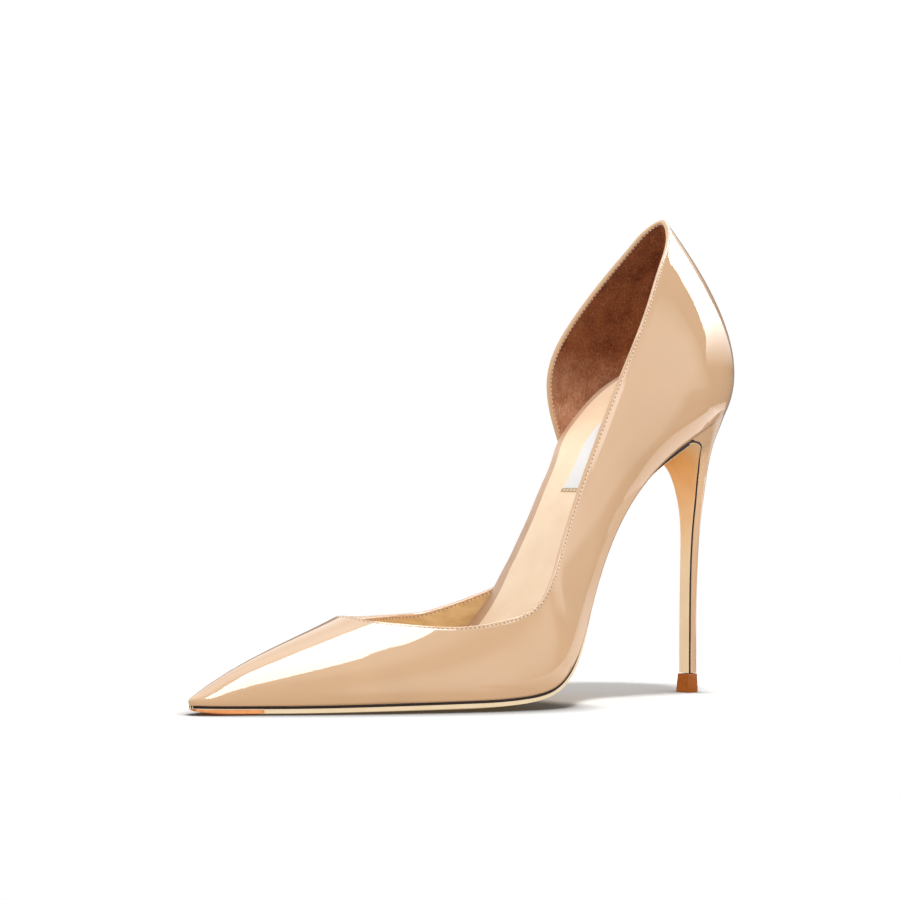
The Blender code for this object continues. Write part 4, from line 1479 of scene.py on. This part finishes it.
# Spots, each as wide as its angle in degrees
Spot = namedtuple("Spot", "name strength place aim angle")
CUP_LIGHT = Spot("cup_light", 1.0, (300.0, 40.0, 520.0), (-84.0, -14.0, 104.0), 8.0)
BREAST_LIGHT = Spot("breast_light", 0.48, (620.0, 750.0, 90.0), (-90.0, 6.0, 76.0), 4.0)
HEEL_LIGHT = Spot("heel_light", 0.7, (-300.0, 700.0, 20.0), (-92.0, 10.0, 88.0), 5.0)
SPOT_RADIUS = 40.0

# The room: how bright it is below and above for matt surfaces, and from where gloss mirrors it brighter
FILL_LOW = 0.62
FILL_HIGH = 1.08
FILL_SPAN = (-0.7, 0.0)
LOW_FILL_TINT = (1.0, 0.82, 0.64)
WHITE = (1.0, 1.0, 1.0)
GLOSS_DIM = 0.12
GLOSS_BACK = 1.5
GLOSS_BACK_WAY = (-0.38, -0.77, 0.50)
GLOSS_BACK_SPAN = (0.55, 0.75)
GLOSS_BACK_HEIGHT = (0.22, 0.38)
GLOSS_SIDE = 1.6
GLOSS_SIDE_WAY = (-0.29, 0.94, 0.17)
GLOSS_SIDE_SPAN = (0.88, 1.0)
GLOSS_TOP = 1.0
GLOSS_TOP_HEIGHT = (0.72, 0.90)


def lying(height, rows):
    """Corners and strengths of a level card, from rows of places X, Y and the strength there."""
    return [[((x, y, height), strength) for x, y, strength in row] for row in rows]


def upright(rows, x=None, y=None):
    """Corners and strengths of a card square to X or Y, from rows of height, places across and strengths."""
    return [[((place if x is None else x, place if y is None else y, height), strength)
             for place, strength in zip(places, strengths)]
            for height, places, strengths in rows]


# Cards that only show as reflections
QUARTER_PLACES = (-50, -85, -115, -134)
CARDS = {
    "top_card": lying(1000, [
        [(-540, -691, 15.0), (-173, -315, 15.0), (-57, -220, 15.0), (42, -170, 15.0), (455, 321, 15.0)],
        [(-427, -39, 15.0), (-53, 298, 15.0), (-42, 345, 15.0), (112, 436, 15.0), (522, 790, 15.0)],
    ]),
    "back_card": upright(x=-1200, rows=[
        (150, (-560, 150), (0.0, 0.0)),
        (330, (-440, 740), (2.0, 0.3)),
        (450, (-330, 640), (5.0, 2.4)),
        (510, (-295, 551), (7.0, 4.6)),
        (560, (-260, 445), (9.0, 7.5)),
        (660, (-220, 390), (11.0, 11.0)),
        (760, (-220, 330), (11.0, 11.0)),
        (900, (-260, 310), (11.0, 11.0)),
        (1500, (-400, 310), (11.0, 11.0)),
    ]),
    "floor_card": lying(1, [
        [(0, 150, 0.0), (-70, 170, 1.5), (-215, 190, 1.8), (-282, 200, 1.8), (-340, 215, 1.8),
         (-400, 232, 1.8), (-515, 190, 1.8), (-702, 74, 1.2), (-930, -168, 0.8)],
        [(0, 100, 0.0), (-70, 120, 1.8), (-215, 130, 3.0), (-282, 135, 3.0), (-340, 140, 3.0),
         (-400, 140, 3.0), (-500, 100, 3.0), (-640, 0, 1.6), (-850, -230, 0.8)],
        [(0, 45, 0.0), (-70, 55, 2.0), (-215, 70, 3.4), (-282, 70, 3.4), (-340, 60, 3.4),
         (-400, 50, 3.4), (-490, 20, 3.4), (-600, -60, 1.8), (-800, -290, 0.8)],
    ]),
    "seat_card": lying(2, [
        [(-400, -250, 0.2), (-400, -60, 0.2)],
        [(-500, -280, 0.7), (-500, -60, 0.7)],
        [(-580, -330, 0.7), (-580, -60, 0.7)],
        [(-900, -900, 0.7), (-900, -420, 0.7)],
    ]),
    "arch_card": upright(x=-100, rows=[
        (1, (28, 54, 73, 100), (2.2, 2.0, 1.8, 1.6)),
        (5, (28, 54, 73, 100), (2.2, 2.0, 1.8, 1.6)),
        (15, (28, 54, 73, 88), (2.0, 1.8, 1.6, 1.4)),
        (24, (28, 48, 60, 73), (1.8, 1.6, 1.4, 1.2)),
        (36, (28, 40, 50, 58), (1.4, 1.2, 1.1, 1.0)),
        (41, (28, 36, 43, 50), (1.2, 1.1, 1.0, 0.9)),
        (43.5, (28, 31, 34, 37), (1.1, 1.0, 1.0, 0.9)),
        (48, (28, 32, 36, 39.5), (1.1, 1.0, 1.0, 0.9)),
        (51, (28, 33, 37, 41.5), (1.1, 1.1, 1.0, 1.0)),
        (54, (28, 34, 41, 47), (1.3, 1.3, 1.2, 1.1)),
        (57, (28, 36, 44, 51), (1.5, 1.5, 1.4, 1.3)),
    ]),
    "heel_card": upright(x=-130, rows=[
        (5, (4, 32), (0.3, 0.3)),
        (78, (4, 32), (0.3, 0.3)),
    ]),
    "quarter_card": upright(y=90, rows=[
        (56, (*QUARTER_PLACES, -240), (0.3, 0.2, 0.15, 0.12, 0.12)),
        (68, (*QUARTER_PLACES, -240), (0.4, 1.5, 1.7, 0.5, 0.12)),
        (82, (*QUARTER_PLACES, -240), (0.9, 2.2, 2.0, 0.3, 0.12)),
        (95, (*QUARTER_PLACES, -240), (1.9, 2.3, 2.2, 0.5, 0.15)),
        (105, (*QUARTER_PLACES, -200), (1.9, 2.4, 2.4, 1.8, 0.3)),
        (125, (*QUARTER_PLACES, -175), (1.9, 2.4, 2.4, 2.3, 0.5)),
        (150, (*QUARTER_PLACES, -175), (1.6, 2.2, 2.3, 2.1, 0.6)),
        (175, (*QUARTER_PLACES, -175), (1.0, 1.5, 1.7, 1.6, 0.6)),
        (215, (*QUARTER_PLACES, -175), (0.2, 0.2, 0.2, 0.2, 0.2)),
    ]),
    "edge_card": upright(y=70, rows=[
        (78, (-52, -12), (2.0, 2.0)),
        (95, (-52, -12), (6.0, 6.0)),
        (118, (-50, -12), (6.0, 6.0)),
        (135, (-48, -12), (5.0, 5.0)),
        (150, (-48, -12), (1.0, 1.0)),
    ]),
}


def make_card(name, rows):
    corners = [tuple(np.array(corner) * MM) for row in rows for corner, _ in row]
    strengths = [strength for row in rows for _, strength in row]
    mesh = bpy.data.meshes.new(name)
    mesh.from_pydata(corners, [], grid_faces(len(rows), len(rows[0])))
    mesh.attributes.new("glow", "FLOAT", "POINT").data.foreach_set("value", strengths)
    material = bpy.data.materials.new(name)
    paint = Nodes(material)
    paint.tree.nodes.remove(paint.tree.nodes["Principled BSDF"])
    glow = paint.add("ShaderNodeAttribute", {}, "Fac", attribute_name="glow")
    paint.show(paint.add("ShaderNodeEmission", {"Strength": glow}))
    mesh.materials.append(material)
    piece = new_object(name, mesh)
    piece.visible_camera = False
    piece.visible_diffuse = False
    piece.visible_transmission = False
    piece.visible_shadow = False


def make_world():
    """White to the camera, an even fill for the matt surfaces, and a darker room to be mirrored."""
    world = bpy.data.worlds.new("studio")
    bpy.context.scene.world = world
    room = Nodes(world)
    way = room.add("ShaderNodeTexCoord", {}, "Generated")
    height = room.add("ShaderNodeSeparateXYZ", {"Vector": way}, "Z")
    path = room.tree.nodes.new("ShaderNodeLightPath").outputs

    def towards(target):
        """How far a direction agrees with another."""
        ways = {0: way, 1: Vector(target).normalized()}
        return room.add("ShaderNodeVectorMath", ways, "Value", operation="DOT_PRODUCT")

    def smooth(value, span, top=1.0):
        """0 below a span of values and the top above it, with a smooth change between them."""
        return room.spread(value, *span, 0.0, top, "SMOOTHSTEP")

    def choose(ray, off, on):
        return room.add("ShaderNodeMix", {0: path[ray], 2: off, 3: on})

    back = room.calculate("MULTIPLY", smooth(towards(GLOSS_BACK_WAY), GLOSS_BACK_SPAN, GLOSS_BACK),
                          smooth(height, GLOSS_BACK_HEIGHT))
    side = smooth(towards(GLOSS_SIDE_WAY), GLOSS_SIDE_SPAN, GLOSS_SIDE)
    top = room.calculate("ADD", smooth(height, GLOSS_TOP_HEIGHT, GLOSS_TOP), GLOSS_DIM)
    gloss = room.calculate("ADD", room.calculate("ADD", back, side), top)
    fill = room.calculate("ADD", smooth(height, FILL_SPAN, FILL_HIGH - FILL_LOW), FILL_LOW)
    seen = choose("Is Camera Ray", choose("Is Glossy Ray", fill, gloss), 1.0)
    low = room.calculate("SUBTRACT", 1.0, smooth(height, FILL_SPAN))
    tint = room.mix(room.calculate("MULTIPLY", path["Is Diffuse Ray"], low), WHITE, LOW_FILL_TINT)
    background = room.tree.nodes["Background"].inputs
    room.feed(background["Color"], tint)
    room.feed(background["Strength"], seen)


def place_light(name, data, place, aim, lit):
    """A light that falls on the given pieces alone, and that no gloss mirrors."""
    light = new_object(name, data)
    light.location = Vector(place) * MM
    light.rotation_euler = (Vector(aim) - Vector(place)).to_track_quat("-Z", "Y").to_euler()
    light.visible_glossy = False
    receivers = bpy.data.collections.new("lit_by_" + name)
    for piece in lit:
        receivers.objects.link(piece)
    light.light_linking.receiver_collection = receivers


def place_spot(spot, lit):
    """A small soft-edged spot, whose strength is that of the light on a surface that faces it."""
    data = bpy.data.lights.new(spot.name, "SPOT")
    data.spot_size = math.radians(spot.angle)
    data.spot_blend = 1.0
    data.shadow_soft_size = SPOT_RADIUS * MM
    reach = (Vector(spot.aim) - Vector(spot.place)).length * MM
    data.energy = spot.strength * 4 * math.pi ** 2 * reach ** 2
    place_light(spot.name, data, spot.place, spot.aim, lit)


def make_lights(floor, inside, sole, heel):
    """A soft light over the floor, which the shoe shades, and spots into the heel cup and on the heel."""
    top = bpy.data.lights.new("top_light", "AREA")
    top.size = TOP_LIGHT_SIZE * MM
    top.energy = TOP_LIGHT * math.pi ** 2 * (TOP_LIGHT_PLACE[2] * MM) ** 2
    place_light("top_light", top, TOP_LIGHT_PLACE, TOP_LIGHT_AIM, [floor])
    place_spot(CUP_LIGHT, inside)
    place_spot(BREAST_LIGHT, [sole, heel])
    place_spot(HEEL_LIGHT, [heel])


def floor_paint():
    """Pale and matt round the shoe, with a contact shadow painted into its colour where the shoe is near, and
    white further out, so no horizon shows.
    """
    grey = (FLOOR_GREY,) * 3
    paint = Paint("floor", grey, FLOOR_ROUGHNESS, Specular_IOR_Level=0.0)
    # Painted contact shadow: the floor's grey darkens towards the painted shadow grey where the shoe is close
    painted_shadow = paint.add("ShaderNodeAmbientOcclusion", {"Distance": PAINTED_SHADOW_REACH * MM}, "AO")
    paint.set(Base_Color=paint.mix(paint.spread(painted_shadow, *PAINTED_SHADOW_RANGE), (PAINTED_SHADOW_GREY,) * 3, grey))
    away = paint.add("ShaderNodeVectorMath", {0: paint.place}, "Value", operation="LENGTH")
    white = paint.add("ShaderNodeEmission", {})
    shaders = {0: paint.spread(away, *FLOOR_WHITE_FROM), 1: paint.shader.outputs["BSDF"], 2: white}
    paint.show(paint.add("ShaderNodeMixShader", shaders))
    return paint.material


def make_stage(inside, sole, heel):
    mesh = bpy.data.meshes.new("floor")
    corners = [(-1, -1), (1, -1), (1, 1), (-1, 1)]
    mesh.from_pydata([(x * FLOOR_HALF, y * FLOOR_HALF, 0.0) for x, y in corners], [], [(0, 1, 2, 3)])
    mesh.materials.append(floor_paint())
    floor = new_object("floor", mesh)
    floor.visible_glossy = False
    floor.visible_diffuse = False
    for name, rows in CARDS.items():
        make_card(name, rows)
    make_world()
    make_lights(floor, inside, sole, heel)
    bpy.context.scene.view_settings.view_transform = "Standard"


def make_camera():
    turn, tilt, roll = (math.radians(value) for value in (VIEW_TURN, VIEW_TILT, VIEW_ROLL))
    towards = Vector((math.sin(turn) * math.cos(tilt), math.cos(turn) * math.cos(tilt), math.sin(tilt)))
    level = Vector((-math.cos(turn), math.sin(turn), 0.0))
    rise = towards.cross(level)
    right = math.cos(roll) * level + math.sin(roll) * rise
    up = math.cos(roll) * rise - math.sin(roll) * level
    eye = (Vector(VIEW_TARGET) + VIEW_DISTANCE * towards) * MM
    data = bpy.data.cameras.new("camera")
    data.sensor_width = SENSOR
    data.lens = SENSOR * FOCAL_SHARE
    camera = new_object("camera", data)
    turned = Matrix((right, up, towards)).transposed().to_4x4()
    camera.matrix_world = Matrix.Translation(eye) @ turned
    bpy.context.scene.camera = camera


def main():
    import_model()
    make_camera()
    kinds = make_materials()
    upper = Upper()
    make_patent(upper, kinds["patent"])
    inside = [make_lining(upper, "vamp_lining", False, kinds["lining"]),
              make_lining(upper, "cup_lining", True, kinds["suede"])]
    make_stitches(upper, kinds["thread"], kinds["hole_shade"])
    sole = make_sole(kinds["sole"], kinds["edge"])
    make_tap(kinds["tap"])
    inside.append(make_insole(kinds["wrap"]))
    sock = Sock()
    inside.append(make_sock(sock, kinds["sock"], kinds["wrap"]))
    inside += make_label(sock, kinds["label"], kinds["gold"], kinds["pale"])
    heel = make_heel(kinds["patent"])
    make_top_piece(kinds["tip"])
    make_stage(inside, sole, heel)


main()
